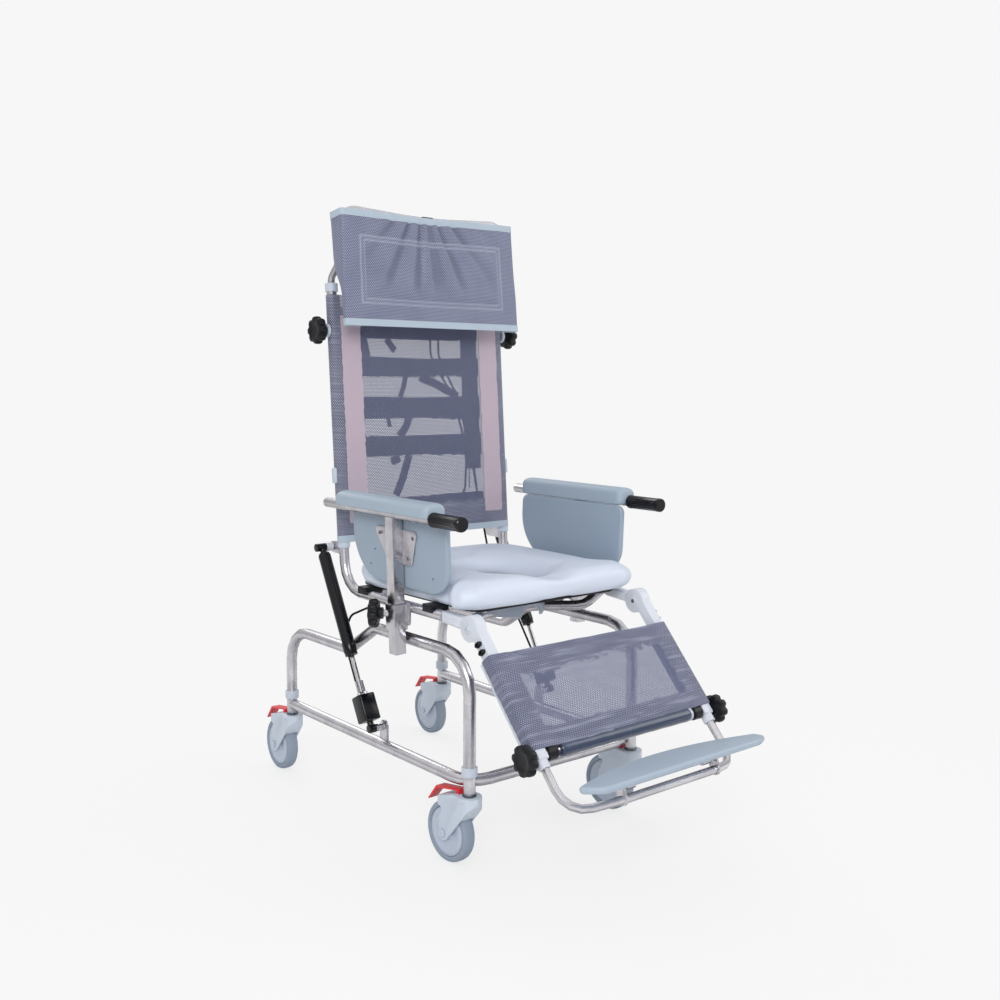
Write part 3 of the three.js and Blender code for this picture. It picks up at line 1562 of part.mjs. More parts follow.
function clampPlate(sign) {
  const [oneY, oneZ] = [-footCrossNormal, -footCrossStation];
  const [twoY, twoZ] = [-footPivotNormal, -footPivotStation];
  const half = footClampThickness / 2;
  const middle = sign * (footClampX - half);
  const range = [middle - half, middle + half];
  const ends = [[oneY, oneZ], [twoY, twoZ]].map(([y, z]) => rodX(2 * footClampRadius, range, y, z, rodSides));
  const angle = Math.atan2(twoZ - oneZ, twoY - oneY);
  const length = Math.hypot(twoY - oneY, twoZ - oneZ);
  const web = block([range[0], range[1]], [0, length], [-footClampRadius, footClampRadius]);
  return join(...ends, web.rotateX(angle).translate(0, oneY, oneZ));
}

function addFootFrame() {
  const half = [
    at(legX, -legNormal, -footTubeTop), at(legX, -legNormal, -footCornerStation),
    at(footCrossHalf, -footCrossNormal, -footCrossStation),
  ];
  const mirrored = half.slice().reverse().map((point) => at(-point.x, point.y, point.z));
  const bends = [footCornerBend, footCrossBend, footCrossBend, footCornerBend];
  const bow = tube([...half, ...mirrored], bends, footTube, slimTubeSides);
  const reach = footClampX - footClampThickness / 2;
  const pin = rodX(footPivotPin, [-reach, reach], -footPivotNormal, -footPivotStation);
  add(legFrame, 'footrest_frame', join(bow, clampPlate(1), clampPlate(-1), pin), steel);
}

const onLeg = (x, normal, station) => {
  const point = at(x, -normal, -station).applyEuler(new THREE.Euler(legTurn, 0, 0));
  return point.add(at(0, legHingeY, legHingeHeight));
};

function footPlateOutline() {
  const half = [
    [footPlateFrontHalf, 0], [footPlateHalfWidth, footPlateTipBack], [footPlateHalfWidth, footPlateTipRise],
  ];
  const rear = [];
  for (let i = 1 - footPlateSteps; i < footPlateSteps; i += 1) {
    const share = i / footPlateSteps;
    const y = footPlateTipRise + (footPlateRearBow - footPlateTipRise) * (1 - share * share);
    rear.push([-share * footPlateHalfWidth, y]);
  }
  const left = half.slice().reverse().map(([x, y]) => [-x, y]);
  return flatPoints([...half, ...rear, ...left]);
}

function addFootPlate() {
  const pivot = onLeg(0, footPivotNormal, footPivotStation);
  const tilt = radians(footPlateTiltAngle);
  const plate = plateFlat(footPlateOutline(), [-footPlateThickness, 0], footPlateEdge);
  plate.rotateX(tilt).translate(0, footPlateY, footPlateTop);
  const bushes = [-1, 1].map((sign) => {
    const range = [sign * bushX - bushLength / 2, sign * bushX + bushLength / 2];
    const bush = rodX(bushDiameter, range, pivot.y, pivot.z);
    const outline = [
      [pivot.y - bushDiameter / 2, pivot.z], [pivot.y + bushDiameter / 2, pivot.z],
      [pivot.y + bushDiameter, footPlateTop - footPlateThickness / 2],
      [pivot.y - bushDiameter / 2, footPlateTop - footPlateThickness / 2],
    ];
    const plateRange = [sign * bushX - footBracketThickness, sign * bushX + footBracketThickness];
    return join(bush, plateUpright(flatPoints(outline), plateRange));
  });
  const bore = rodX(footPivotPin + 2 * seatGap, [-bushX - bushLength, bushX + bushLength], pivot.y, pivot.z);
  const stripHalf = bushX + footBracketInset;
  const strip = block([-stripHalf, stripHalf], [pivot.y - bushDiameter / 2, pivot.y + bushDiameter],
    [footPlateTop - footPlateThickness - footBracketThickness, footPlateTop - footPlateThickness / 2]);
  add(model, 'footplate', cut(join(plate, strip, ...bushes), bore), padFoam);
}

// Release cables, held between the release box and the lever

function onStrut(x, out, along) {
  const point = at(x, out, -along).applyEuler(new THREE.Euler(-strutTurn, 0, 0));
  return point.add(at(strutX, strutTop.y, strutTop.z));
}

function cableRoute(side, sign) {
  const boxTop = onStrut(0, cableOut, boxStart - seatGap);
  const leverEnd = onBack(leverCentre + sign * cableSpread, leverY, leverStation - leverBarrel / 2 - seatGap);
  const below = leverEnd.clone().sub(at(0, 0, cableDrop));
  const places = cableRoutes[side].map((place) => at(...place));
  return [at(sign * boxTop.x, boxTop.y, boxTop.z), ...places, below, leverEnd];
}

function addCables() {
  for (const [side, sign] of Object.entries(sides)) {
    const cable = tube(cableRoute(side, sign), cableBend, cableDiameter, cableSides);
    add(model, `release_cable_${side}`, cable, black);
  }
}

addArches();
addLowerFrame();
addCasters();
addSideTubes();
addCrossTubes();
addPushBar();
addReleaseLever();
addBackSling();
addHeadFrame();
addHeadPad();
addHeadKnobs();
addCushion();
addSeatBoard();
addSplashGuard();
addArmrests();
addClamps();
addStruts();
addLegArms();
addLegRoll();
addLegPanel();
addFootFrame();
addFootPlate();
addCables();

// Origin under the middle of the chair
chair.updateMatrixWorld(true);
const bounds = new THREE.Box3().setFromObject(model, true);
const middle = bounds.getCenter(new THREE.Vector3());
model.position.set(-middle.x, -middle.y, -bounds.min.z);

export default chair;
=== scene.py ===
# %% [markdown]
# # A tilting shower chair
# This lesson dresses a finished set of solids as a shower chair on casters: a bent tube frame, a mesh back,
# moulded pads, star knobs and two struts that let the seat tilt. The solids come in first, as a fixed frame,
# and every piece made here apart from the release cables rides on one of its bodies, so that the chair still
# moves.

# %% Load the solids
import json
import math

import bmesh
import bpy
from mathutils import Matrix, Vector, noise


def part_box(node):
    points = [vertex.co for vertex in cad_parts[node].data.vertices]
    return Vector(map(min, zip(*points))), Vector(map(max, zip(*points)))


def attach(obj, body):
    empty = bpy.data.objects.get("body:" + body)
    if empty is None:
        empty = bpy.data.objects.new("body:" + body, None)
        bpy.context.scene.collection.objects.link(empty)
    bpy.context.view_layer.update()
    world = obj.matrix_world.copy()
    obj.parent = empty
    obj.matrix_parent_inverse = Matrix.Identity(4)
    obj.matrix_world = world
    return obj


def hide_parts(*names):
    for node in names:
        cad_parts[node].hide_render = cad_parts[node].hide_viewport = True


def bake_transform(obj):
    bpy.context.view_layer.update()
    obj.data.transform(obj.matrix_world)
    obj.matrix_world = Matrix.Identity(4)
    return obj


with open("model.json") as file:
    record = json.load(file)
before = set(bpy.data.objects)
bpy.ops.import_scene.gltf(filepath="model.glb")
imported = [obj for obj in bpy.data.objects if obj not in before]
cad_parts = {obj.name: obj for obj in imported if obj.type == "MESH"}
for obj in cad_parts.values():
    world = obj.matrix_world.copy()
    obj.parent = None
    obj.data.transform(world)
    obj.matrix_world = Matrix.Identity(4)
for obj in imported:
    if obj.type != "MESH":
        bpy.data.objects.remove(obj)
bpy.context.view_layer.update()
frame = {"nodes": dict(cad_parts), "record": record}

MM = 0.001
SIDES = {"left": 1, "right": -1}
ENDS = {"front": -1, "rear": 1}
FLIP = {"left": Matrix.Identity(4), "right": Matrix.Diagonal((-1, 1, 1, 1))}
FRAME_SHIFT = 120.3904  # how far back the solids lie from the middle of the base


def let_go():
    if bpy.context.object and bpy.context.object.mode == "EDIT":
        bpy.ops.object.mode_set(mode="OBJECT")
    bpy.ops.object.select_all(action="DESELECT")


def pick(piece):
    let_go()
    piece.select_set(True)
    bpy.context.view_layer.objects.active = piece


def smooth_by(piece, degrees):
    pick(piece)
    bpy.ops.object.shade_smooth_by_angle(angle=math.radians(degrees))
    return piece


def linked(name, data):
    piece = bpy.data.objects.new(name, data)
    bpy.context.scene.collection.objects.link(piece)
    return piece


def piece_from(name, shape):
    mesh = bpy.data.meshes.new(name)
    shape.to_mesh(mesh)
    shape.free()
    return linked(name, mesh)


def applied(piece, kind, **values):
    pick(piece)
    modifier = piece.modifiers.new(kind.lower(), kind)
    for label, value in values.items():
        setattr(modifier, label, value)
    bpy.ops.object.modifier_apply(modifier=modifier.name)


def twin_of(piece, name):
    twin = piece.copy()
    twin.data = piece.data.copy()
    twin.name = twin.data.name = name
    bpy.context.scene.collection.objects.link(twin)
    return twin


def move(piece, place):
    """A mirrored place turns the faces inside out, so they are flipped back."""
    piece.data.transform(place)
    if place.determinant() < 0:
        piece.data.flip_normals()
    return piece


def drop(*pieces):
    for piece in pieces:
        bpy.data.objects.remove(piece, do_unlink=True)


# %% [markdown]
# The photographs of such chairs are taken from the front right, a little above the armrests. The camera gets
# that direction and a normal lens. It is made first, because it decides what has to be fine and what may be
# plain.

# %% Camera
CAMERA_PLACE = Vector((-1556.8, -2037.1 + FRAME_SHIFT, 967.8)) * MM
CAMERA_TURN, CAMERA_DROP, CAMERA_ROLL = (math.radians(degrees) for degrees in (-39.71, 6.23, 0.41))
SENSOR_WIDTH, LENS = 36.0, 40.93


def camera_axes(turn, drop, roll):
    back = Vector((math.sin(turn) * math.cos(drop), -math.cos(turn) * math.cos(drop), math.sin(drop)))
    right = Vector((math.cos(turn), math.sin(turn), 0))
    up = back.cross(right)
    level = math.cos(roll) * right + math.sin(roll) * up
    upright = -math.sin(roll) * right + math.cos(roll) * up
    return Matrix((level, upright, back)).transposed().to_4x4()


camera = linked("camera", bpy.data.cameras.new("camera"))
camera.data.lens, camera.data.sensor_width = LENS, SENSOR_WIDTH
camera.matrix_world = Matrix.Translation(CAMERA_PLACE) @ camera_axes(CAMERA_TURN, CAMERA_DROP, CAMERA_ROLL)
bpy.context.scene.camera = camera
print("camera stands", round(CAMERA_PLACE.length, 2), "m from the middle of the base")

# %% [markdown]
# ## Where things stand
# The back leans, the leg rest slopes and each caster has its own turn. A piece is easiest to model flat and
# square, in millimetres from its own hinge, so each of these places gets a matrix that carries a finished
# piece to where it belongs.

# %% Places of the parts
BACK_LEAN, LEG_SLOPE, PAD_TILT, ARM_LEAN = 4.36, 41.76, 8.5, 2.0
CASTER_TURNS = {"front_right": 1, "front_left": 4, "rear_right": -3, "rear_left": -4}
POST_X, POST_Y = 226, 347.5
TUBE_X = 229  # the back tubes
LEG_X = 227  # the leg arms
ARM_TUBE_X, ARM_TUBE_UP = 7, 293.3
KNOB_UP = 570.3  # the head knobs, along the back tubes
STRUT_TOP, STRUT_FOOT = (151.027, 583.975), (-46, 216)


def shifted(x, y, z):
    return Matrix.Translation(Vector((x, y, z)) * MM)


def turn(axis, degrees):
    return Matrix.Rotation(math.radians(degrees), 4, axis)


def at_place(x, y, z, axis="X", degrees=0.0):
    return shifted(x, y + FRAME_SHIFT, z) @ turn(axis, degrees)


BACK = at_place(0, 94.7, 495, "X", -BACK_LEAN)
HEAD_PAD = at_place(0, 72, 1075, "X", -PAD_TILT)
LEG = at_place(0, -359, 486, "X", -LEG_SLOPE)
ARM = {side: at_place(sign * 254, -143, 399, "Y", sign * ARM_LEAN) for side, sign in SIDES.items()}
STRUT_LEAN = -math.degrees(math.atan2(STRUT_TOP[0] - STRUT_FOOT[0], STRUT_TOP[1] - STRUT_FOOT[1]))
STRUT = {side: at_place(sign * 255, *STRUT_TOP, "X", STRUT_LEAN) for side, sign in SIDES.items()}
CASTER = {
    f"{end}_{side}": at_place(sign * POST_X, way * POST_Y, 0, "Z", CASTER_TURNS[f"{end}_{side}"])
    for end, way in ENDS.items() for side, sign in SIDES.items()
}
AXIS_TO_X = turn("Y", 90)
FLAT_TO_SIDE = Matrix(((0, 0, 1, 0), (1, 0, 0, 0), (0, 1, 0, 0), (0, 0, 0, 1)))
print("places:", 3 + len(ARM) + len(STRUT) + len(CASTER))

# %% [markdown]
# ## Finishes
# Paint, moulded plastic and rubber differ mostly in how rough they are and in what a close look shows:
# fine grain, a duller edge, a trace of dust. Each of those is a small node group, built once and placed in
# the materials with its own values. The Principled shader itself stays in each material.

# %% Small helpers for nodes


def feed(tree, value, socket):
    """Sets a socket to a plain value, or joins it to the output of another node."""
    if isinstance(value, bpy.types.NodeSocket):
        tree.links.new(value, socket)
    else:
        socket.default_value = value


def new_group(name, inputs, outputs):
    """Inputs are labels with their values, where None is a place. Outputs are labels only."""
    group = bpy.data.node_groups.new(name, "ShaderNodeTree")
    for label, value in inputs.items():
        kind = "Vector" if value is None else "Color" if isinstance(value, tuple) else "Float"
        socket = group.interface.new_socket(name=label, in_out="INPUT", socket_type=f"NodeSocket{kind}")
        if value is not None:
            socket.default_value = value
    for label in outputs:
        kind = "Color" if label == "Color" else "Float"
        group.interface.new_socket(name=label, in_out="OUTPUT", socket_type=f"NodeSocket{kind}")
    return group, group.nodes.new("NodeGroupInput").outputs, group.nodes.new("NodeGroupOutput").inputs


def math_node(tree, operation, first, second=0.0, clamp=False):
    node = tree.nodes.new("ShaderNodeMath")
    node.operation = operation
    node.use_clamp = clamp
    feed(tree, first, node.inputs[0])
    feed(tree, second, node.inputs[1])
    return node.outputs[0]


def times(tree, first, second, clamp=False):
    return math_node(tree, "MULTIPLY", first, second, clamp)


def plus(tree, first, second, clamp=False):
    return math_node(tree, "ADD", first, second, clamp)


def minus(tree, first, second):
    return math_node(tree, "SUBTRACT", first, second)


def mixed(tree, share, first, second):
    node = tree.nodes.new("ShaderNodeMix")
    node.data_type = "RGBA"
    for number, value in ((0, share), (6, first), (7, second)):
        feed(tree, value, node.inputs[number])
    return node.outputs[2]


def spread(tree, value, low, high):
    node = tree.nodes.new("ShaderNodeMapRange")
    node.inputs["From Min"].default_value = low
    node.inputs["From Max"].default_value = high
    feed(tree, value, node.inputs["Value"])
    return node.outputs["Result"]


def noise_of(tree, vector, scale, detail=2.0):
    node = tree.nodes.new("ShaderNodeTexNoise")
    for label, value in (("Vector", vector), ("Scale", scale), ("Detail", detail)):
        feed(tree, value, node.inputs[label])
    return node.outputs["Fac"]


def object_place(tree):
    return tree.nodes.new("ShaderNodeTexCoord").outputs["Object"]


# %% Node groups for grain, worn edges, brush marks with painted shade, and weave
GREY, PALE_GREY = (0.5, 0.5, 0.5, 1), (0.7, 0.7, 0.7, 1)


def fine_grain_group():
    group, start, end = new_group(
        "fine_grain", {"Vector": None, "Scale": 400.0, "Color": GREY, "Mottle": 0.06, "Roughness": 0.5},
        ["Color", "Roughness", "Height"])
    swing = minus(group, noise_of(group, start["Vector"], 9.0, 3.0), 0.5)
    darker = group.nodes.new("ShaderNodeHueSaturation")
    feed(group, start["Color"], darker.inputs["Color"])
    feed(group, plus(group, times(group, swing, start["Mottle"]), 1.0), darker.inputs["Value"])
    feed(group, darker.outputs["Color"], end["Color"])
    feed(group, plus(group, start["Roughness"], times(group, swing, 0.25), True), end["Roughness"])
    feed(group, noise_of(group, start["Vector"], start["Scale"]), end["Height"])
    return group


def edge_wear_group():
    group, start, end = new_group(
        "edge_wear", {"Color": GREY, "Worn": PALE_GREY, "Amount": 0.5, "Vector": None}, ["Color"])
    pointed = group.nodes.new("ShaderNodeNewGeometry").outputs["Pointiness"]
    broken = times(group, spread(group, pointed, 0.52, 0.62), noise_of(group, start["Vector"], 60.0))
    mask = times(group, broken, start["Amount"], True)
    feed(group, mixed(group, mask, start["Color"], start["Worn"]), end["Color"])
    return group


def brush_marks_and_shade_group():
    """Painted shade: faces that look down get the dark colour, as if shaded. Clouds of stain also run over
    the metal.
    """
    group, start, end = new_group(
        "brush_marks_and_painted_shade", {"Vector": None, "Light": PALE_GREY, "Dark": GREY, "Roughness": 0.3},
        ["Color", "Roughness", "Height"])
    facing = group.nodes.new("ShaderNodeSeparateXYZ")
    feed(group, group.nodes.new("ShaderNodeNewGeometry").outputs["Normal"], facing.inputs[0])
    # Painted shade: the colour darkens as the face turns downwards.
    under = spread(group, facing.outputs["Z"], 0.15, -0.65)
    cloud = noise_of(group, start["Vector"], 26.0, 4.0)
    dull = times(group, spread(group, cloud, 0.42, 0.72), 0.25)
    share = plus(group, times(group, under, 0.6), dull, True)
    feed(group, mixed(group, share, start["Light"], start["Dark"]), end["Color"])
    uneven = times(group, minus(group, cloud, 0.5), 0.12)
    feed(group, plus(group, start["Roughness"], uneven, True), end["Roughness"])
    feed(group, noise_of(group, start["Vector"], 900.0, 1.0), end["Height"])
    return group


def weave_group():
    """Rows of dots, every second row shifted by half a dot. The dots are also the holes, and painted
    highlights on opaque cloth.
    """
    group, start, end = new_group(
        "weave", {"Vector": None, "Threads": 300.0, "Color": PALE_GREY, "Shade": GREY}, ["Color", "Height"])
    apart = group.nodes.new("ShaderNodeSeparateXYZ")
    feed(group, start["Vector"], apart.inputs[0])
    along = times(group, times(group, apart.outputs["Y"], start["Threads"]), 1.5)
    shift = times(group, math_node(group, "MODULO", math_node(group, "FLOOR", along), 2.0), 0.5)
    across = plus(group, times(group, apart.outputs["X"], start["Threads"]), shift)
    waves = []
    for value in (across, along):
        wave = math_node(group, "COSINE", times(group, value, 2 * math.pi))
        waves.append(times(group, minus(group, 1.0, wave), 0.5))
    # Where the cloth lets nothing through, the pale dots are painted highlights of light on the threads.
    dot = spread(group, times(group, *waves), 0.18, 0.55)
    feed(group, mixed(group, dot, start["Shade"], start["Color"]), end["Color"])
    feed(group, dot, end["Height"])
    return group


FINE_GRAIN, EDGE_WEAR = fine_grain_group(), edge_wear_group()
BRUSH_MARKS_AND_SHADE, WEAVE = brush_marks_and_shade_group(), weave_group()
print("node groups:", [group.name for group in bpy.data.node_groups])

# %% Materials of hard pieces


def linear(color):
    def one(value):
        value /= 255
        return value / 12.92 if value <= 0.04045 else ((value + 0.055) / 1.055) ** 2.4
    return (*map(one, color), 1.0)


def new_material(name):
    material = bpy.data.materials.new(name)
    material.use_nodes = True
    return material, material.node_tree, material.node_tree.nodes["Principled BSDF"]


def placed(tree, group, **values):
    node = tree.nodes.new("ShaderNodeGroup")
    node.node_tree = group
    for label, value in values.items():
        feed(tree, value, node.inputs[label])
    return node.outputs


def finished(tree, shader, height, bump, distance=0.0005, **values):
    """Gives the shader its values and a bump. A key such as Base_Color means that input."""
    for label, value in values.items():
        feed(tree, value, shader.inputs[label.replace("_", " ")])
    bump_node = tree.nodes.new("ShaderNodeBump")
    for label, value in (("Strength", bump), ("Distance", distance), ("Height", height)):
        feed(tree, value, bump_node.inputs[label])
    feed(tree, bump_node.outputs["Normal"], shader.inputs["Normal"])


def hard_finish(name, color, roughness, grain=500.0, bump=0.05, coat=0.0, worn=None, mottle=0.06, shine=0.5):
    material, tree, shader = new_material(name)
    where = object_place(tree)
    grains = placed(tree, FINE_GRAIN, Vector=where, Scale=grain, Color=linear(color), Mottle=mottle,
                    Roughness=roughness)
    color_out = grains["Color"]
    if worn:
        wear = placed(tree, EDGE_WEAR, Color=color_out, Worn=linear(worn), Amount=0.6, Vector=where)
        color_out = wear["Color"]
    finished(tree, shader, grains["Height"], bump, Base_Color=color_out, Roughness=grains["Roughness"],
             Specular_IOR_Level=shine, Coat_Weight=coat, Coat_Roughness=0.2)
    return material


def metal_finish(name, light, dark, roughness, bump=0.04):
    material, tree, shader = new_material(name)
    marks = placed(tree, BRUSH_MARKS_AND_SHADE, Vector=object_place(tree), Light=linear(light), Dark=linear(dark),
                   Roughness=roughness)
    finished(tree, shader, marks["Height"], bump, Base_Color=marks["Color"], Roughness=marks["Roughness"],
             Metallic=1.0)
    return material


SATIN_TUBE = metal_finish("satin_tube", (214, 212, 217), (126, 124, 129), 0.27, bump=0.02)
BRIGHT_ROD = metal_finish("bright_rod", (220, 220, 224), (130, 130, 134), 0.14, bump=0.0)
SCREW_DARK = metal_finish("screw_dark", (120, 122, 126), (60, 61, 64), 0.35)
HINGE_WHITE = hard_finish("hinge_white", (202, 207, 217), 0.34, worn=(222, 226, 233))
COLLAR_GREY = hard_finish("collar_grey", (184, 194, 207), 0.42, worn=(205, 213, 223))
CASTER_GREY = hard_finish("caster_grey", (190, 200, 214), 0.42, worn=(210, 217, 226), mottle=0.1)
DISC_GREY = hard_finish("disc_grey", (178, 188, 204), 0.4, worn=(206, 213, 223))
TYRE_GREY = hard_finish("tyre_grey", (138, 150, 166), 0.66, bump=0.12, mottle=0.12)
PEDAL_RED = hard_finish("pedal_red", (216, 36, 44), 0.34, worn=(232, 84, 86), shine=0.4)
KNOB_BLACK = hard_finish("knob_black", (19, 20, 24), 0.36, bump=0.12, worn=(48, 49, 55), shine=0.25)
GRIP_BLACK = hard_finish("grip_black", (12, 13, 17), 0.22, bump=0.06, shine=0.35)
STRUT_BLACK = hard_finish("strut_black", (10, 12, 17), 0.2, bump=0.02, shine=0.35)
CABLE_BLACK = hard_finish("cable_black", (16, 16, 19), 0.4, shine=0.25)
print("hard finishes:", len(bpy.data.materials))

# %% [markdown]
# The pads are moulded foam with a skin: matt, a little leathery, and paler where hands and arms have polished
# them. They share the grain of the hard plastics, finer and with a deeper bump.

# %% Materials of moulded foam
PAD_BLUE = hard_finish("pad_blue", (156, 171, 185), 0.5, grain=700.0, bump=0.3, worn=(178, 191, 203))
PANEL_BLUE = hard_finish("panel_blue", (146, 161, 177), 0.5, grain=700.0, bump=0.3, worn=(166, 180, 195))
PLATE_BLUE = hard_finish("plate_blue", (158, 172, 187), 0.46, grain=600.0, bump=0.15, worn=(182, 194, 206))
SEAT_PALE = hard_finish("seat_pale", (205, 213, 228), 0.46, grain=800.0, bump=0.25, worn=(214, 221, 233))
ROLL_DARK = hard_finish("roll_dark", (46, 59, 85), 0.28, bump=0.1, coat=0.4, mottle=0.2)
GUARD_BLUE = hard_finish("guard_blue", (202, 213, 228), 0.35, grain=300.0, bump=0.1, mottle=0.1)
GUARD_BLUE.node_tree.nodes["Principled BSDF"].inputs["Transmission Weight"].default_value = 0.4
print("foam finishes done, materials:", len(bpy.data.materials))

# %% [markdown]
# The cloth is an open mesh of coated thread. It could be a flat colour with a fixed transparency, but a close
# look shows threads, so a weave drives the colour, the bump and the holes. How far the holes are open is
# painted on each piece as an attribute, because hems, sleeves and doubled straps let nothing through.

# %% Materials of cloth
# Colours of painted light and shade: crease sides on the hems and hollows of the head pad's folds.
CREASE_PAINT_STRETCH = (9, 120, 1)
PAINTED_CREASE_LIGHT, PAINTED_CREASE_SHADE, PAINTED_FOLD_SHADE = (linear(c) for c in ((178, 183, 204), (74, 78, 106), (62, 66, 92)))


def painted(tree, label):
    node = tree.nodes.new("ShaderNodeAttribute")
    node.attribute_name = label
    return node.outputs["Fac"]


def cloth_finish(name, color, shade, threads, roughness=0.62, bump=0.5, sheen=0.15, open_share=0.0,
                 stitch=None, doubled=0.0, painted_creases=0.0):
    material, tree, shader = new_material(name)
    where = tree.nodes.new("ShaderNodeUVMap")
    where.uv_map = "cloth"
    where = where.outputs[0]
    color, shade = linear(color), linear(shade)
    ground = shade
    if open_share:
        thin = painted(tree, "thin")
        ground = mixed(tree, thin, (*(value * 0.5 for value in shade[:3]), 1.0), shade)
        color = mixed(tree, thin, mixed(tree, doubled, color, shade), color)
    cloth = placed(tree, WEAVE, Vector=where, Threads=threads, Color=color, Shade=ground)
    cloud = spread(tree, noise_of(tree, where, 14.0, 3.0), 0.3, 0.7)
    tinted = mixed(tree, times(tree, cloud, 0.3), cloth["Color"], ground)
    # Painted light and shade: pale and dark streaks along the folded hems stand in for the lit and shaded
    # sides of creases.
    if painted_creases:
        stretch = tree.nodes.new("ShaderNodeMapping")
        stretch.inputs["Scale"].default_value = CREASE_PAINT_STRETCH
        feed(tree, where, stretch.inputs["Vector"])
        waves = noise_of(tree, stretch.outputs["Vector"], 1.0, 3.0)
        folded = times(tree, minus(tree, 1.0, thin), painted_creases)
        tinted = mixed(tree, times(tree, spread(tree, waves, 0.52, 0.7), folded), tinted, PAINTED_CREASE_LIGHT)
        tinted = mixed(tree, times(tree, spread(tree, waves, 0.48, 0.3), folded), tinted, PAINTED_CREASE_SHADE)
    if stitch:
        # Painted shade: the hollows of the folds are darkened.
        tinted = mixed(tree, times(tree, painted(tree, "hollow"), 0.42), tinted, PAINTED_FOLD_SHADE)
        tinted = mixed(tree, painted(tree, "stitched"), tinted, linear(stitch))
    gloss = plus(tree, times(tree, cloth["Height"], -0.35), roughness, True)
    finished(tree, shader, cloth["Height"], bump, 0.0006,
             Base_Color=tinted, Roughness=gloss, Sheen_Weight=sheen)
    if open_share:
        gap = plus(tree, times(tree, cloth["Height"], 0.7), open_share)
        feed(tree, minus(tree, 1.0, times(tree, gap, thin, True)), shader.inputs["Alpha"])
    return material


BACK_MESH = cloth_finish("back_mesh_cloth", (190, 194, 214), (94, 99, 128), 215.0, open_share=0.24,
                         doubled=0.12, painted_creases=0.2)
LEG_MESH = cloth_finish("leg_mesh_cloth", (186, 190, 213), (96, 102, 136), 215.0, open_share=0.26,
                        doubled=0.42, painted_creases=0.36)
PAD_MESH = cloth_finish("pad_mesh_cloth", (172, 177, 198), (84, 90, 118), 215.0, stitch=(172, 178, 196))
STRAP_DARK = cloth_finish("strap_dark", (92, 95, 124), (66, 69, 96), 520.0, roughness=0.8)
HEM_PALE = cloth_finish("hem_pale", (190, 204, 216), (168, 182, 196), 700.0, roughness=0.55)
WEBBING_PINK = cloth_finish("webbing_pink", (198, 182, 194), (176, 160, 174), 600.0,
                            roughness=0.9, sheen=0.35)
print("cloth finishes done, materials:", len(bpy.data.materials))

# %% [markdown]
# ## Hard pieces
# The tubes, plates and housings of the solids already have the right shape and size, but their edges are
# knife sharp and their tubes have flat sides. A copy of each is merged, its edges are rounded a little with a
# Bevel, and smooth shading by angle turns the flat sides of the tubes round. That is quicker than modelling
# them again, and nothing moves.

# %% Rounded copies of the hard solids
BODY_OF = {node: body for body, nodes in frame["record"]["behaviour"]["bodies"].items() for node in nodes}
SMOOTH_ANGLE = 34


def dress(piece, body, finish):
    piece.data.materials.clear()
    piece.data.materials.append(finish)
    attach(piece, body)
    return piece


def settle(piece, node, finish):
    dress(piece, BODY_OF[node], finish)
    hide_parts(node)
    return piece


def merged_copy(node, name):
    piece = twin_of(frame["nodes"][node], name)
    for key in list(piece.keys()):
        if key.startswith("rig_"):
            del piece[key]
    piece.parent = None
    shape = bmesh.new()
    shape.from_mesh(piece.data)
    bmesh.ops.remove_doubles(shape, verts=shape.verts, dist=0.01 * MM)
    bmesh.ops.dissolve_limit(shape, angle_limit=math.radians(1), verts=shape.verts, edges=shape.edges)
    shape.to_mesh(piece.data)
    shape.free()
    return piece


def round_edges(piece, edge, steps=2, limit=35):
    applied(piece, "BEVEL", width=edge * MM, segments=steps, limit_method="ANGLE",
            angle_limit=math.radians(limit), use_clamp_overlap=True)
    return smooth_by(piece, SMOOTH_ANGLE)


HARD_PIECES = {
    "arch": (SATIN_TUBE, 0.8), "lower_frame": (SATIN_TUBE, 0.8), "side_tube": (SATIN_TUBE, 0.6),
    "front_cross_tube": (SATIN_TUBE, 0.5), "rear_cross_tube": (SATIN_TUBE, 0.5),
    "push_bar": (SATIN_TUBE, 0.5), "release_lever": (KNOB_BLACK, 0.8), "armrest_clamp": (SATIN_TUBE, 0.6),
    "leg_knuckle": (HINGE_WHITE, 1.2), "headrest_frame": (SATIN_TUBE, 0.5),
    "armrest_frame": (SATIN_TUBE, 0.8), "strut_cylinder": (STRUT_BLACK, 0.8), "strut_rod": (BRIGHT_ROD, 0.4),
    "release_box": (STRUT_BLACK, 1.6), "leg_arm": (HINGE_WHITE, 1.4), "leg_frame": (SATIN_TUBE, 0.6),
    "footrest_frame": (SATIN_TUBE, 0.5), "seat_board": (KNOB_BLACK, 1.0), "caster_fork": (CASTER_GREY, 2.2),
    "brake_pedal": (PEDAL_RED, 0.8), "splash_guard": (GUARD_BLUE, 0.8),
}
for kind, (finish, edge) in HARD_PIECES.items():
    for node in list(frame["nodes"]):
        if node == kind or node.startswith(kind + "_"):
            settle(round_edges(merged_copy(node, f"{node}_piece"), edge), node, finish)

# %% [markdown]
# ## Turned pieces
# Knobs, wheels, grips, collars and caps are round about an axis. Each is drawn as half an outline, radius
# against height, and spun a full turn. Its doubled start is merged and its faces are made to point outwards,
# because a spin can leave them inside out.

# %% Spinning an outline


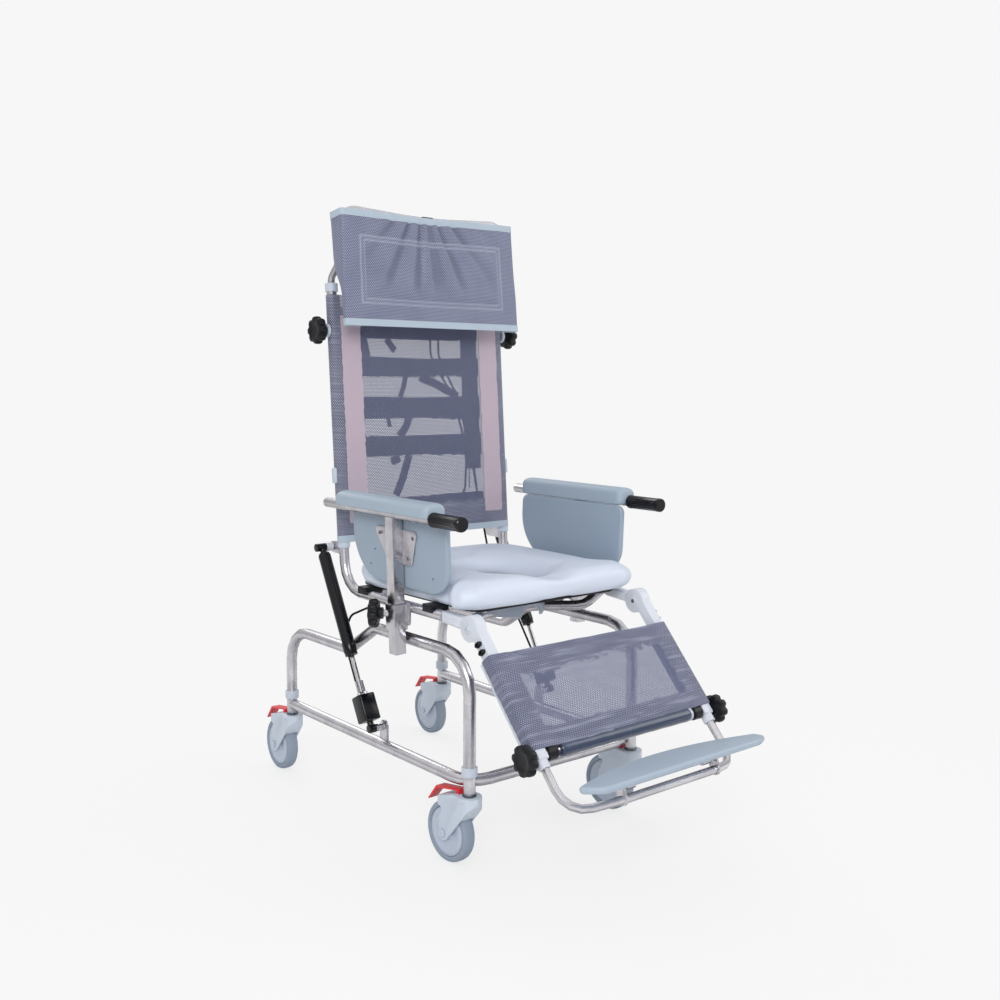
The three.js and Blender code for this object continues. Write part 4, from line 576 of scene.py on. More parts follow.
def turned(name, outline, steps=48):
    mesh = bpy.data.meshes.new(name)
    spots = [(radius * MM, 0, height * MM) for radius, height in outline]
    mesh.from_pydata(spots, [(i, i + 1) for i in range(len(spots) - 1)], [])
    piece = linked(name, mesh)
    pick(piece)
    bpy.ops.object.mode_set(mode="EDIT")
    bpy.ops.mesh.select_all(action="SELECT")
    bpy.ops.mesh.spin(steps=steps, angle=2 * math.pi, center=(0, 0, 0), axis=(0, 0, 1))
    bpy.ops.mesh.select_all(action="SELECT")
    bpy.ops.mesh.remove_doubles(threshold=0.005 * MM)
    bpy.ops.mesh.normals_make_consistent(inside=False)
    bpy.ops.object.mode_set(mode="OBJECT")
    return smooth_by(piece, SMOOTH_ANGLE)


def drawn_in(piece, share_at):
    """share_at(radius, angle) says how far each point keeps from the axis."""
    for vertex in piece.data.vertices:
        x, y = vertex.co.x, vertex.co.y
        share = share_at(math.hypot(x, y) / MM, math.atan2(y, x))
        vertex.co.x, vertex.co.y = x * share, y * share


# %% [markdown]
# ## Star knobs
# Six knobs clamp the head rest, the armrests and the foot tubes. Each has eight round lobes with hollows
# between them, a shallow dish in its face and a short neck. One knob is spun, its outer points are then drawn
# in between the lobes, and it is copied to its six places.

# %% The knob and its six copies
KNOB_LOBES, LOBE_START, LOBE_REACH, LOBE_DEPTH = 8, 16, 14, 0.2
KNOB_OUTLINE = [
    (0, 4), (12, 4), (12, 11), (15, 13), (24, 13), (28, 14.5), (30, 18), (30, 27), (28.5, 30.5), (25, 32),
    (19, 32), (16, 31), (13, 30), (6, 29.6), (0, 29.5),
]
STUD_OUTLINE = [(0, -10), (3.9, -10), (3.9, 5), (0, 5)]
KNOB_STANDS = {"head": 18, "leg": 11, "arm": 24}  # how far each knob stands off its tube


def lobe_share(radius, angle):
    if radius < LOBE_START:
        return 1
    hollow = (0.5 - 0.5 * math.cos(KNOB_LOBES * angle)) ** 2.2
    return 1 - LOBE_DEPTH * hollow * (radius - LOBE_START) / LOBE_REACH


knob_pattern = turned("knob_pattern", KNOB_OUTLINE, 96)
drawn_in(knob_pattern, lobe_share)
for side in SIDES:
    roots = {
        "head": BACK @ FLIP[side] @ shifted(TUBE_X, 0, KNOB_UP),
        "leg": LEG @ FLIP[side] @ shifted(LEG_X, -9, -280),
        "arm": ARM[side] @ FLIP[side] @ shifted(0, 0, 85) @ turn("Z", 45),
    }
    for kind, root in roots.items():
        node = f"{kind}_knob_{side}"
        place = root @ AXIS_TO_X @ shifted(0, 0, KNOB_STANDS[kind])
        settle(move(twin_of(knob_pattern, f"{node}_star"), place), node, KNOB_BLACK)
        stud = move(turned(f"{node}_stud", STUD_OUTLINE, 20), place)
        dress(stud, BODY_OF[node], SCREW_DARK)
drop(knob_pattern)

# %% [markdown]
# ## Wheels
# A caster wheel is a moulded disc with a raised ring and a hub, and a soft grey tyre around it. They are two
# pieces, because the tyre is a duller and darker material and a thin groove shows between them.

# %% Tyres and discs
AXLE_BACK, AXLE_UP = 58, 62.5


def both_faces(half):
    """The lower half of an outline, its mirror image above, and the start again."""
    return [*half, *[(radius, -height) for radius, height in reversed(half) if height], half[0]]


DISC_OUTLINE = both_faces([
    (5.3, -15.4), (15, -15.4), (17, -14.6), (18, -12.6), (34, -12.4), (37, -13.6), (42, -13.8), (45, -13),
    (47, -12), (49, -11.5), (49.6, -9)])
TYRE_OUTLINE = both_faces([
    (49.9, -11.5), (51, -13.2), (54, -14.4), (57, -14.2), (59.6, -12.6), (61.4, -9.6), (62.3, -5.5),
    (62.5, 0)])
CAP_OUTLINE = [(0, 23.2), (6, 23.2), (8.6, 24), (8.8, 25.4), (7.6, 26.6), (0, 27)]
disc_pattern = turned("disc_pattern", DISC_OUTLINE, 72)
tyre_pattern = turned("tyre_pattern", TYRE_OUTLINE, 96)
cap_pattern = turned("cap_pattern", CAP_OUTLINE, 32)
for corner, place in CASTER.items():
    hub = place @ shifted(0, AXLE_BACK, AXLE_UP) @ AXIS_TO_X
    node = f"caster_wheel_{corner}"
    settle(move(twin_of(tyre_pattern, f"tyre_{corner}"), hub), node, TYRE_GREY)
    settle(move(twin_of(disc_pattern, f"wheel_disc_{corner}"), hub), node, DISC_GREY)
    for label, half_turn in (("outer", 0), ("inner", 180)):
        cap = twin_of(cap_pattern, f"axle_cap_{corner}_{label}")
        move(cap, hub @ turn("X", half_turn) @ shifted(0, 0, -0.2))
        dress(cap, f"swivel_{corner}", DISC_GREY)
drop(disc_pattern, tyre_pattern, cap_pattern)
print("wheels:", len(CASTER))

# %% [markdown]
# ## Collars, spacers and bolts
# Grey plastic collars close the tops of the back tubes, the sleeves' lower ends and the posts over the
# casters. White spacers hold the struts off the frame. All of them are turned rings with broken edges, slid
# over the tubes where the solids have their plain collars.

# %% Collars and spacers


def collar(name, radius, length, place, body, finish, hole=0.0, edge=1.2):
    outline = [(hole, 0), (radius - edge, 0), (radius, edge), (radius, length - edge),
               (radius - edge, length), (hole, length)]
    if hole:
        outline.append(outline[0])
    return dress(move(turned(name, outline, 40), place), body, finish)


for side, sign in SIDES.items():
    tube = BACK @ shifted(sign * TUBE_X, 0, 0)
    outwards = turn("Y", 90 * sign)
    collar(f"back_collar_{side}", 13.9, 19, tube @ shifted(0, 0, 654.6), "seat",
           COLLAR_GREY, 8.4)
    collar(f"sleeve_collar_{side}", 13.6, 13, tube @ shifted(0, 0, 92), "seat",
           COLLAR_GREY, 11.1)
    spacer = tube @ shifted(0, 49.4, 93) @ outwards @ shifted(0, 0, 1.4)
    collar(f"strut_spacer_{side}", 9.4, 16, spacer, "seat", HINGE_WHITE)
    saddle = tube @ shifted(0, 0, KNOB_UP) @ outwards @ shifted(0, 0, 14)
    collar(f"knob_saddle_{side}", 15, 7.4, saddle, "seat", COLLAR_GREY, 4.6)
    for end, way in ENDS.items():
        post, stem = (at_place(sign * POST_X, way * POST_Y, up) for up in (190.1, 149.8))
        collar(f"post_collar_{end}_{side}", 16, 18.8, post, "base", COLLAR_GREY, 12.6)
        collar(f"stem_collar_{end}_{side}", 14.2, 4, stem, "base", SCREW_DARK, 12.6, 0.8)
print("collars done")

# %% [markdown]
# The armrest plates and the leg hinges carry small round screws, and black plugs close two holes in each leg
# arm. They are small, but their dark dots are what the eye uses to judge the scale.

# %% Screws and plugs
SCREW_OUTLINE = [(0, 0), (4.2, 0), (4.2, 1), (3.4, 2), (1.7, 2.2), (1.5, 1.2), (0, 1.2)]
PLUG_OUTLINE = [(0, 0), (4.4, 0), (4.6, 1.2), (3.6, 2.2), (2.6, 2.0), (1.8, 1.0), (0, 0.9)]
PLUG_OVAL = Matrix.Diagonal((1.3, 2.0, 3.4, 1))
FLANGE_HOLES = [(-48, 243), (70, 243), (-30, 200), (30, 200)]
FLANGE_FACE = -12.5
screw_pattern = turned("screw_pattern", SCREW_OUTLINE, 20)
plug_pattern = turned("plug_pattern", PLUG_OUTLINE, 24)


def put(pattern, name, place, body, finish, size=1.0):
    dress(move(twin_of(pattern, name), place @ Matrix.Scale(size, 4)), body, finish)


for side in SIDES:
    for number, (y, z) in enumerate(FLANGE_HOLES):
        spot = ARM[side] @ FLIP[side] @ shifted(FLANGE_FACE, y, z) @ AXIS_TO_X
        put(screw_pattern, f"flange_screw_{side}_{number}", spot, f"armrest_{side}", SCREW_DARK, 0.9)
    arm = LEG @ FLIP[side] @ shifted(LEG_X, 0, 0)
    hinge, inside = arm @ shifted(15, 0, 0) @ AXIS_TO_X, arm @ shifted(-15, 0, 0) @ turn("Y", -90)
    put(screw_pattern, f"hinge_screw_{side}", hinge, "legrest", COLLAR_GREY, 1.5)
    put(screw_pattern, f"hinge_screw_inner_{side}", inside, "legrest", SCREW_DARK)
    for number, down in enumerate((40, 57)):
        plug = arm @ shifted(11.6, -9, -down) @ AXIS_TO_X @ PLUG_OVAL
        put(plug_pattern, f"arm_plug_{side}_{number}", plug, "legrest", KNOB_BLACK)
drop(screw_pattern, plug_pattern)
print("screws and plugs done")

# %% [markdown]
# ## Hand grips
# A rubber grip with shallow flutes along it and a plain rounded end. It is spun as a sleeve, and the flutes
# are pressed in by drawing its points in by turns.

# %% Grips
GRIP_OUTLINE = [
    (11.4, 0), (14.2, 0), (14.8, 1), (14.8, 6), (14.4, 7), (14.4, 80), (14.8, 81.5), (14.8, 89), (14.2, 91.5),
    (12.5, 93), (0, 93), (0, 89), (11.4, 89), (11.4, 0),
]
FLUTES, FLUTE_RADIUS, FLUTE_DEPTH = 14, 14.4, 0.045


def flute_share(radius, angle):
    fluted = abs(radius - FLUTE_RADIUS) < 0.2
    return 1 - FLUTE_DEPTH * max(0.0, math.cos(FLUTES * angle)) if fluted else 1


for side in SIDES:
    grip = turned(f"hand_grip_{side}_rubber", GRIP_OUTLINE, 84)
    drawn_in(grip, flute_share)
    move(grip, ARM[side] @ FLIP[side] @ shifted(ARM_TUBE_X, -146, ARM_TUBE_UP) @ turn("X", 90))
    settle(grip, f"hand_grip_{side}", GRIP_BLACK)
print("grips done")

# %% [markdown]
# ## Release cables
# A black cable runs from each strut's release box up beside the strut, over the seat rail and behind the
# back to the lever. It is a tube swept along straight runs with round bends, and it is cut into two pieces,
# a lower and an upper one, that meet beside the strut.

# %% A line with round bends
BEND_STEP = 0.2  # the largest turn between two points of a bend


def lengths_along(line):
    lengths = [0.0]
    for one, two in zip(line, line[1:]):
        lengths.append(lengths[-1] + math.dist(one, two))
    return lengths


def spaced(line, spacing):
    lengths = lengths_along(line)
    count = max(2, round(lengths[-1] / spacing))
    points, k = [], 0
    for i in range(count + 1):
        wanted = lengths[-1] * i / count
        while k < len(lengths) - 2 and lengths[k + 1] < wanted:
            k += 1
        share = (wanted - lengths[k]) / max(lengths[k + 1] - lengths[k], 1e-9)
        points.append(line[k].lerp(line[k + 1], share))
    return points


def round_line(corners, radius, spacing):
    corners = [Vector(corner) for corner in corners]
    line = [corners[0]]
    for before, corner, after in zip(corners, corners[1:], corners[2:]):
        along, onward = (corner - before).normalized(), (after - corner).normalized()
        angle = along.angle(onward)
        inward = (onward - along * along.dot(onward)).normalized()
        heart = corner - along * radius * math.tan(angle / 2) + inward * radius
        steps = max(3, math.ceil(angle / BEND_STEP))
        for k in range(steps + 1):
            passed = angle * k / steps
            line.append(heart + (along * math.sin(passed) - inward * math.cos(passed)) * radius)
    return spaced([*line, corners[-1]], spacing)


def skin(shape, rings):
    for one, two in zip(rings, rings[1:]):
        for k in range(len(one)):
            on = (k + 1) % len(one)
            shape.faces.new((one[k], one[on], two[on], two[k]))


def swept(name, line, radius, sides=12):
    """Rings of points square to the line, skinned and capped."""
    shape, side, rings = bmesh.new(), None, []
    for i, spot in enumerate(line):
        ahead = (line[min(i + 1, len(line) - 1)] - line[max(i - 1, 0)]).normalized()
        side = (side - ahead * side.dot(ahead)) if side else ahead.orthogonal()
        side.normalize()
        other = ahead.cross(side)
        angles = [2 * math.pi * k / sides for k in range(sides)]
        rings.append([shape.verts.new(spot + (side * math.cos(a) + other * math.sin(a)) * radius)
                      for a in angles])
    skin(shape, rings)
    shape.faces.new(list(reversed(rings[0])))
    shape.faces.new(rings[-1])
    return smooth_by(piece_from(name, shape), 60)


# %% Cables
CABLE_RADIUS = 2.5 * MM
CABLE_BEND, CABLE_SPACING = 20 * MM, 4 * MM
CABLE_PLACES = {
    "left": [(247, 78, 396), (234, 66, 442), (204, 14, 470), (200, 76, 472), (206, 128, 530), (190, 160, 700),
             (176, 168, 790), (150, 182, 910)],
    "right": [(-247, 78, 396), (-234, 66, 442), (-204, 14, 470), (-134, 82, 472), (-24, 132, 524),
              (90, 150, 579), (158, 162, 695), (168, 170, 790), (136, 182, 910)],
}
BOX_TOP = Vector((0, 13, -342.7)) * MM
LEVER_X, LEVER_END = 95, (66, 590.7)
LAST_DROP = Vector((0, 0, 60 * MM))
MEETING_HEIGHT, HELD_HEIGHT = 398 * MM, 466 * MM

for side, sign in SIDES.items():
    lever_end = BACK @ (Vector((LEVER_X + 12 * sign, *LEVER_END)) * MM)
    middle_places = [Vector((x, y + FRAME_SHIFT, z)) * MM for x, y, z in CABLE_PLACES[side]]
    whole = round_line([STRUT[side] @ BOX_TOP, *middle_places, lever_end - LAST_DROP, lever_end],
                       CABLE_BEND, CABLE_SPACING)
    split = next(i for i, spot in enumerate(whole) if spot.z > MEETING_HEIGHT)
    lower, upper = whole[:split + 1], whole[split:]
    held = next(spot for spot in upper if spot.z > HELD_HEIGHT)
    for label, run, stiffness, bodies, bends in (
        ("low", lower, "stiff", (f"strut_rod_{side}", f"strut_cylinder_{side}"), (lower[2], lower[-1])),
        ("high", upper, "medium", (f"strut_cylinder_{side}", "seat"), (upper[0], held)),
    ):
        cable = swept(f"cable_{label}_{side}", run, CABLE_RADIUS)
        cable.data.materials.append(CABLE_BLACK)
        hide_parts(f"release_cable_{side}")
        tuple(run[0])
        lengths_along(run)[-1]
        [tuple(spot) for spot in run]
        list(bodies)
        tuple(bends[0])
        tuple(bends[1])
        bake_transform(cable)
    print(side, "cable", round(lengths_along(whole)[-1], 3), "m")

# %% [markdown]
# ## Cloth
# The back, the head rest and the leg rest are sheets of mesh cloth, folded round their tubes and sewn. Cloth
# simulation would pull them flat between the tubes, which is what they are, so each is laid out from a fold
# line across, a length along it, and a small sag and some puckers in between. The flat place of each point is
# kept as a UV map, so that the weave follows the folds.

# %% Laying cloth by hand


def cloth_grid(name, columns, rows, spot, thickness, keep=None, **painted_shares):
    """spot(i, j) gives a point and its place on the flat cloth, both in millimetres."""
    grid = [spot(i, j) for j in range(rows + 1) for i in range(columns + 1)]
    flat = [on_cloth for point, on_cloth in grid]
    wide = columns + 1
    faces = [(j * wide + i, j * wide + i + 1, (j + 1) * wide + i + 1, (j + 1) * wide + i)
             for j in range(rows) for i in range(columns) if keep is None or keep(i, j)]
    mesh = bpy.data.meshes.new(name)
    mesh.from_pydata([Vector(point) * MM for point, on_cloth in grid], [], faces)
    cloth_map = mesh.uv_layers.new(name="cloth")
    for loop in mesh.loops:
        across, along = flat[loop.vertex_index]
        cloth_map.data[loop.index].uv = (across * MM, along * MM)
    for label, share_at in painted_shares.items():
        layer = mesh.attributes.new(label, "FLOAT", "POINT")
        layer.data.foreach_set("value", [share_at(across, along) for across, along in flat])
    shape = bmesh.new()
    shape.from_mesh(mesh)
    bmesh.ops.delete(shape, geom=[v for v in shape.verts if not v.link_faces], context="VERTS")
    shape.to_mesh(mesh)
    shape.free()
    piece = linked(name, mesh)
    applied(piece, "SOLIDIFY", thickness=thickness * MM, offset=0, use_even_offset=True)
    return smooth_by(piece, 50)


def rough(place, size, amount, seed=0.0):
    return noise.noise(Vector((place[0] / size, place[1] / size, seed))) * amount


def soft_step(low, high, value):
    share = min(1.0, max(0.0, (value - low) / (high - low)))
    return share * share * (3 - 2 * share)


def bell(distance, width):
    return math.exp(-(distance / width) ** 2)


def flat_line(corners, radius, spacing):
    return [(spot.x, spot.y) for spot in round_line([(x, y, 0) for x, y in corners], radius, spacing)]


print("cloth helper ready")

# %% [markdown]
# ## The back
# One sheet goes round both side tubes, as two sleeves with the taut panel between them. The sleeves are
# double and let nothing through, and so does the strip above the hem. The rest is open mesh.

# %% Back sheet
SLEEVE_RADIUS = 12.7
BACK_LOW, BACK_HIGH, BACK_ROWS = 105.5, 647.9, 110
BACK_SAG = 5.5
PUSH_BAR_UP = 618


def sleeve_points(sign, degrees):
    angles = [math.radians(d) for d in degrees]
    return [(sign * (TUBE_X + SLEEVE_RADIUS * math.cos(a)), SLEEVE_RADIUS * math.sin(a)) for a in angles]


BACK_LINE = [
    *sleeve_points(-1, range(230, -91, -10)),
    *[(-TUBE_X + 2 * TUBE_X * i / 60, -SLEEVE_RADIUS) for i in range(1, 60)],
    *sleeve_points(1, range(-90, 232, 10)),
]
back_lengths = lengths_along(BACK_LINE)
BACK_HALF = back_lengths[-1] / 2


def across_share(x):
    return math.cos(math.pi * min(abs(x), TUBE_X) / (2 * TUBE_X))


def sag_at(x):
    return BACK_SAG * across_share(x) if abs(x) < TUBE_X else 0.0


def back_up(j):
    return BACK_LOW + (BACK_HIGH - BACK_LOW) * j / BACK_ROWS


def back_spot(i, j):
    (x, out), up = BACK_LINE[i], back_up(j)
    puckers = rough((x, up), 34, 1.2, 3.0) * across_share(x)
    return (x, out + sag_at(x) + puckers, up), (back_lengths[i] - BACK_HALF, up)


def back_keep(i, j):
    (x, out), up = BACK_LINE[i], back_up(j + 0.5)
    around_bar = abs(up - PUSH_BAR_UP) < 15 and (out > -4 and abs(x) < 236 or out > 8)
    around_stud = abs(up - KNOB_UP) < 7 and abs(x) > 239 and abs(out) < 6
    return not (around_bar or around_stud)


def back_thin(across, along):
    edge = rough((across, along), 21, 7, 9.0)
    return soft_step(222, 214, abs(across) + edge * 0.3) * soft_step(172, 180, along + edge)


back_sheet = cloth_grid("back_sheet", len(BACK_LINE) - 1, BACK_ROWS, back_spot, 1.3, back_keep,
                        thin=back_thin)
move(back_sheet, BACK)
print("back sheet, flat:", round(2 * BACK_HALF), "x", round(BACK_HIGH - BACK_LOW), "mm")

# %% [markdown]
# Behind the sheet, four wide straps and an upright flap take the sitter's weight, and can be drawn tighter.
# Their dark shapes and loose ends show through the mesh. In front, two strips of pink fleece tape run down
# the edges. Each is a strip laid between two lines that wander a little.

# %% Strips of cloth


def strip(name, ends_at, columns, rows, out_at, thickness, wander, seed):
    """ends_at(share) gives the strip's two edge points, across and up, at a share of its length."""

    def spot(i, j):
        (ax, ay), (bx, by) = ends_at(j / rows)
        share = i / columns
        x, up = ax + (bx - ax) * share, ay + (by - ay) * share
        if i in (0, columns):
            x += rough((x, up), 9, wander, seed)
            up += rough((up, x), 9, wander, seed + 5)
        return (x, out_at(x, up), up), (share * math.dist((ax, ay), (bx, by)), j / rows * 300)

    return cloth_grid(name, columns, rows, spot, thickness)


def behind(depth):
    return lambda x, up: -SLEEVE_RADIUS + sag_at(x) + depth + rough((x, up), 40, 1.0, 7.0)


def ahead(depth):
    return lambda x, up: -SLEEVE_RADIUS + sag_at(x) - depth + rough((x, up), 26, 0.7, 2.0)


def upright_band(x, half, low, high):
    def edges(share):
        up = low + (high - low) * share
        return (x - half, up), (x + half, up)
    return edges


def level_strap(low, high, slump=0.0, half=166):
    def edges(share):
        x = -half + 2 * half * share
        ragged = rough((x, low), 13, 5 * soft_step(-30, 60, x), 4.0)
        drop_by = slump * soft_step(-20, 120, x)
        return (x, low - drop_by + ragged), (x, high - 2 * math.sin(share * math.pi))
    return edges


def ribbon(points, width):
    line = spaced([Vector((x, up, 0)) for x, up in points], 4.0)

    def edges(share):
        k = share * (len(line) - 1)
        i = min(int(k), len(line) - 2)
        spot = line[i].lerp(line[i + 1], k - i)
        heading = (line[i + 1] - line[i]).normalized()
        side = Vector((-heading.y, heading.x, 0)) * width / 2
        return (spot.x - side.x, spot.y - side.y), (spot.x + side.x, spot.y + side.y)
    return edges


# %% Straps, loose ends and tape of the back
STRAPS = {
    "top": (556, 600, 0), "upper": (470, 515, -2), "middle": (376, 425, 6), "lower": (290, 337, 5),
    "bottom": (124, 196, -14),
}
LOOSE_ENDS = {
    "top_side": ([(-160, 560), (-152, 515)], 26), "top_point": ([(-92, 556), (-78, 536), (-70, 530)], 16),
    "upper_left": ([(-44, 472), (-50, 450), (-62, 424)], 13),
    "upper_right": ([(-4, 470), (46, 452), (104, 424)], 20),
    "middle_point": ([(-98, 378), (-95, 356)], 11), "middle_left": ([(-38, 378), (-52, 352), (-70, 334)], 19),
    "lower_point": ([(-86, 290), (-80, 272)], 26), "lower_left": ([(-44, 290), (-64, 240), (-86, 200)], 20),
    "cord_one": ([(131, 296), (127, 205)], 2.6), "cord_two": ([(139, 296), (150, 210)], 2.2),
}
FLAP = (141, 23, 250, 580)
TAPE_X, TAPE_HALF, TAPE_LOW, TAPE_HIGH = 193, 25.5, 146, 602
back_pieces = []
for number, (label, spans) in enumerate(STRAPS.items()):
    band = strip(f"back_strap_{label}", level_strap(*spans), 10, 84, behind(2.6), 1.6, 1.4, number)
    back_pieces.append((band, STRAP_DARK))
for number, (label, (points, width)) in enumerate(LOOSE_ENDS.items()):
    wander = 0.6 if width < 4 else 1.6
    end = strip(f"back_end_{label}", ribbon(points, width), 4, 24, behind(4.6), 1.0, wander, number)
    back_pieces.append((end, STRAP_DARK))
back_pieces.append((strip("back_flap", upright_band(*FLAP), 8, 60, behind(5.2), 1.6, 1.2, 0.0), STRAP_DARK))
for side, sign in SIDES.items():
    band = upright_band(sign * TAPE_X, TAPE_HALF, TAPE_LOW, TAPE_HIGH)
    tape = strip(f"back_tape_{side}", band, 12, 110, ahead(1.7), 1.4, 3.0, 11 + sign)
    back_pieces.append((tape, WEBBING_PINK))

# %% Hem of the back
HEM_HEIGHT, HEM_ROWS = 15, 5
HEM_REACH = 1 + 0.9 / SLEEVE_RADIUS  # how much further out the hem goes round the tubes


def hem_spot(i, j):
    (x, out), up = BACK_LINE[i], HEM_HEIGHT * j / HEM_ROWS
    if abs(x) > TUBE_X:
        x = math.copysign(TUBE_X + (abs(x) - TUBE_X) * HEM_REACH, x)
    out = out * HEM_REACH + (sag_at(x) if out < 0 else 0.0)
    return (x, out, BACK_LOW - 1 + up), (back_lengths[i], up)


back_pieces.append((cloth_grid("back_hem", len(BACK_LINE) - 1, HEM_ROWS, hem_spot, 0.8), HEM_PALE))
for piece, finish in back_pieces:
    dress(move(piece, BACK), "seat", finish)
settle(back_sheet, "back_mesh", BACK_MESH)
print("pieces on the back:", len(back_pieces))

# %% [markdown]
# ## The head rest pad
# A sleeve of mesh cloth with a soft panel sewn into its front. It wraps round the head frame's legs, its top
# and bottom are bound with pale tape, and two rows of stitches draw a rectangle. The cloth gathers towards
# the middle of the top edge, so long soft folds fan out from there.

# %% Head pad sheet
PAD_HEIGHT, PAD_ROWS = 246, 56
PAD_FRONT_OUT, PAD_FRONT_HALF = -6, 232
PAD_LEAN = 14.0  # how far the top leans back
PAD_LINE = flat_line(
    [(-199, 20), (-207, 28.5), (-240, 28.5), (-240.5, PAD_FRONT_OUT), (240.5, PAD_FRONT_OUT), (240, 28.5),
     (207, 28.5), (199, 20)], 6.5, 4.5)
pad_lengths = lengths_along(PAD_LINE)
PAD_HALF = pad_lengths[-1] / 2
PANEL_HALF, PANEL_LOW, PANEL_HIGH = 190, 54, 188
STITCH_ROWS = {"outer": 6, "inner": -4}  # how far outside the panel's edge each row of stitches runs
PAD_TAPER = 0.012  # how much narrower the pad is at its top, over the frame's round corners
FAN_X, FAN_UP, FOLD_DEPTH = -22, 320, 5.5


def box_distance(x, up, grow):
    middle, half = (PANEL_LOW + PANEL_HIGH) / 2, (PANEL_HIGH - PANEL_LOW) / 2
    return max(abs(x) - PANEL_HALF - grow, abs(up - middle) - half - grow)


def folds(x, up):
    angle = math.atan2(x - FAN_X, FAN_UP - up)
    wave = math.cos(angle * 21) + 0.5 * math.cos(angle * 37 + math.radians(40))
    high = soft_step(60, 120, up) * soft_step(246, 226, up)
    stitched_down = 1 - 0.65 * bell(box_distance(x, up, 0), 7)
    return wave * bell(x + 20, 135) * high * stitched_down * FOLD_DEPTH


def pad_spot(i, j):
    (x, out), up = PAD_LINE[i], PAD_HEIGHT * j / PAD_ROWS
    lean = PAD_LEAN * up / PAD_HEIGHT
    if out < 0 and abs(x) < PAD_FRONT_HALF:
        puff = 3.4 * soft_step(4, -26, box_distance(x, up, 0)) + 1.8 * math.cos(math.pi * x / 470)
        rim = 1.6 * sum(bell(box_distance(x, up, grow), 3.2) for grow in STITCH_ROWS.values())
        out += -puff + rim - folds(x, up) * 0.8 + rough((x, up), 30, 0.9, 1.0)
    else:
        out = PAD_FRONT_OUT + (out - PAD_FRONT_OUT) * (0.34 + 0.66 * soft_step(60, 150, up))
        if out > 0:
            out += lean * soft_step(-2, 20, out)
    top_dip = -4.0 * math.sin(math.pi * up / PAD_HEIGHT / 2) * bell(x + 20, 130)
    narrow = 1 - PAD_TAPER * soft_step(40, PAD_HEIGHT, up)
    return (x * narrow, out - lean, up + top_dip), (pad_lengths[i] - PAD_HALF, up)


def pad_stitched(across, along):
    lines = min(abs(box_distance(across, along, grow)) for grow in STITCH_ROWS.values())
    return 0.4 * soft_step(1.9, 0.6, lines)


# How much painted shade each point gets in the hollows of the folds.
def pad_painted_fold_shade(across, along):
    return soft_step(-0.5, 4.5, -folds(across, along)) if abs(across) < 225 else 0.0


head_pad = cloth_grid("head_pad", len(PAD_LINE) - 1, PAD_ROWS, pad_spot, 2.4, stitched=pad_stitched,
                      hollow=pad_painted_fold_shade)
settle(move(head_pad, HEAD_PAD), "headrest_pad", PAD_MESH)
print("head pad:", len(head_pad.data.polygons), "faces")

# %% Binding tape and stitches of the head pad
STITCH, STITCH_GAP, STITCH_RADIUS = 3.4, 2.4, 0.55
ROW_HEIGHT = PAD_HEIGHT / PAD_ROWS

for label, low in (("top", PAD_ROWS - 2.9), ("bottom", -0.5)):
    def bound_spot(i, j, low=low):
        row = low + 3.4 * j / 4
        on_pad = min(PAD_ROWS, max(0, row))
        (x, out, up), flat = pad_spot(i, on_pad)
        return (x, out, up + (row - on_pad) * ROW_HEIGHT), (flat[0], row * ROW_HEIGHT)
    binding = cloth_grid(f"head_pad_binding_{label}", len(PAD_LINE) - 1, 4, bound_spot, 4.2)
    dress(move(binding, HEAD_PAD), "headrest", HEM_PALE)


def row_of_stitches(name, corners, spot_at):
    shape = bmesh.new()
    lift, forward = Vector((0, -STITCH_RADIUS * MM, 0)), Vector((0, -0.5 * MM, 0))
    for one, two in zip(corners, corners[1:]):
        one, two = Vector(one), Vector(two)
        count = int((two - one).length / (STITCH + STITCH_GAP))
        for k in range(count):
            starts_at = (k + 0.2) / count
            ends_at = starts_at + STITCH / (STITCH + STITCH_GAP) / count
            start, stop = (spot_at(*one.lerp(two, share)) for share in (starts_at, ends_at))
            middle = (start + stop) / 2 + forward
            side = (stop - start).normalized().cross(Vector((0, 1, 0))).normalized() * STITCH_RADIUS * MM
            rim = [shape.verts.new(middle + way) for way in (side, lift, -side, -lift)]
            tips = [shape.verts.new(start), shape.verts.new(stop)]
            for a, b in zip(rim, rim[1:] + rim[:1]):
                shape.faces.new((a, b, tips[1]))
                shape.faces.new((b, a, tips[0]))
    return piece_from(name, shape)


front_columns = [i for i, (x, out) in enumerate(PAD_LINE) if out < PAD_FRONT_OUT + 0.1]


def pad_face(x, up):
    i = min(front_columns, key=lambda column: abs(PAD_LINE[column][0] - x))
    one, two = (i, i + 1) if PAD_LINE[i][0] <= x else (i - 1, i)
    share = (x - PAD_LINE[one][0]) / (PAD_LINE[two][0] - PAD_LINE[one][0])
    a, b = (Vector(pad_spot(column, up / ROW_HEIGHT)[0]) for column in (one, two))
    return (a.lerp(b, share) + Vector((0, -1.3, 0))) * MM


for label, grow in STITCH_ROWS.items():
    across, low, high = PANEL_HALF + grow, PANEL_LOW - grow, PANEL_HIGH + grow
    corners = [(-across, low), (across, low), (across, high), (-across, high), (-across, low)]
    stitches = row_of_stitches(f"head_pad_stitches_{label}", corners, pad_face)
    dress(move(stitches, HEAD_PAD), "headrest", HEM_PALE)
print("binding and stitches done")

# %% [markdown]
# ## The leg rest sling
# The same mesh, folded round both leg arms and sewn to itself behind them. It has wide doubled hems at the
# top and bottom and doubled sides, so only the middle can be seen through. Pale piping follows its outer
# edges.

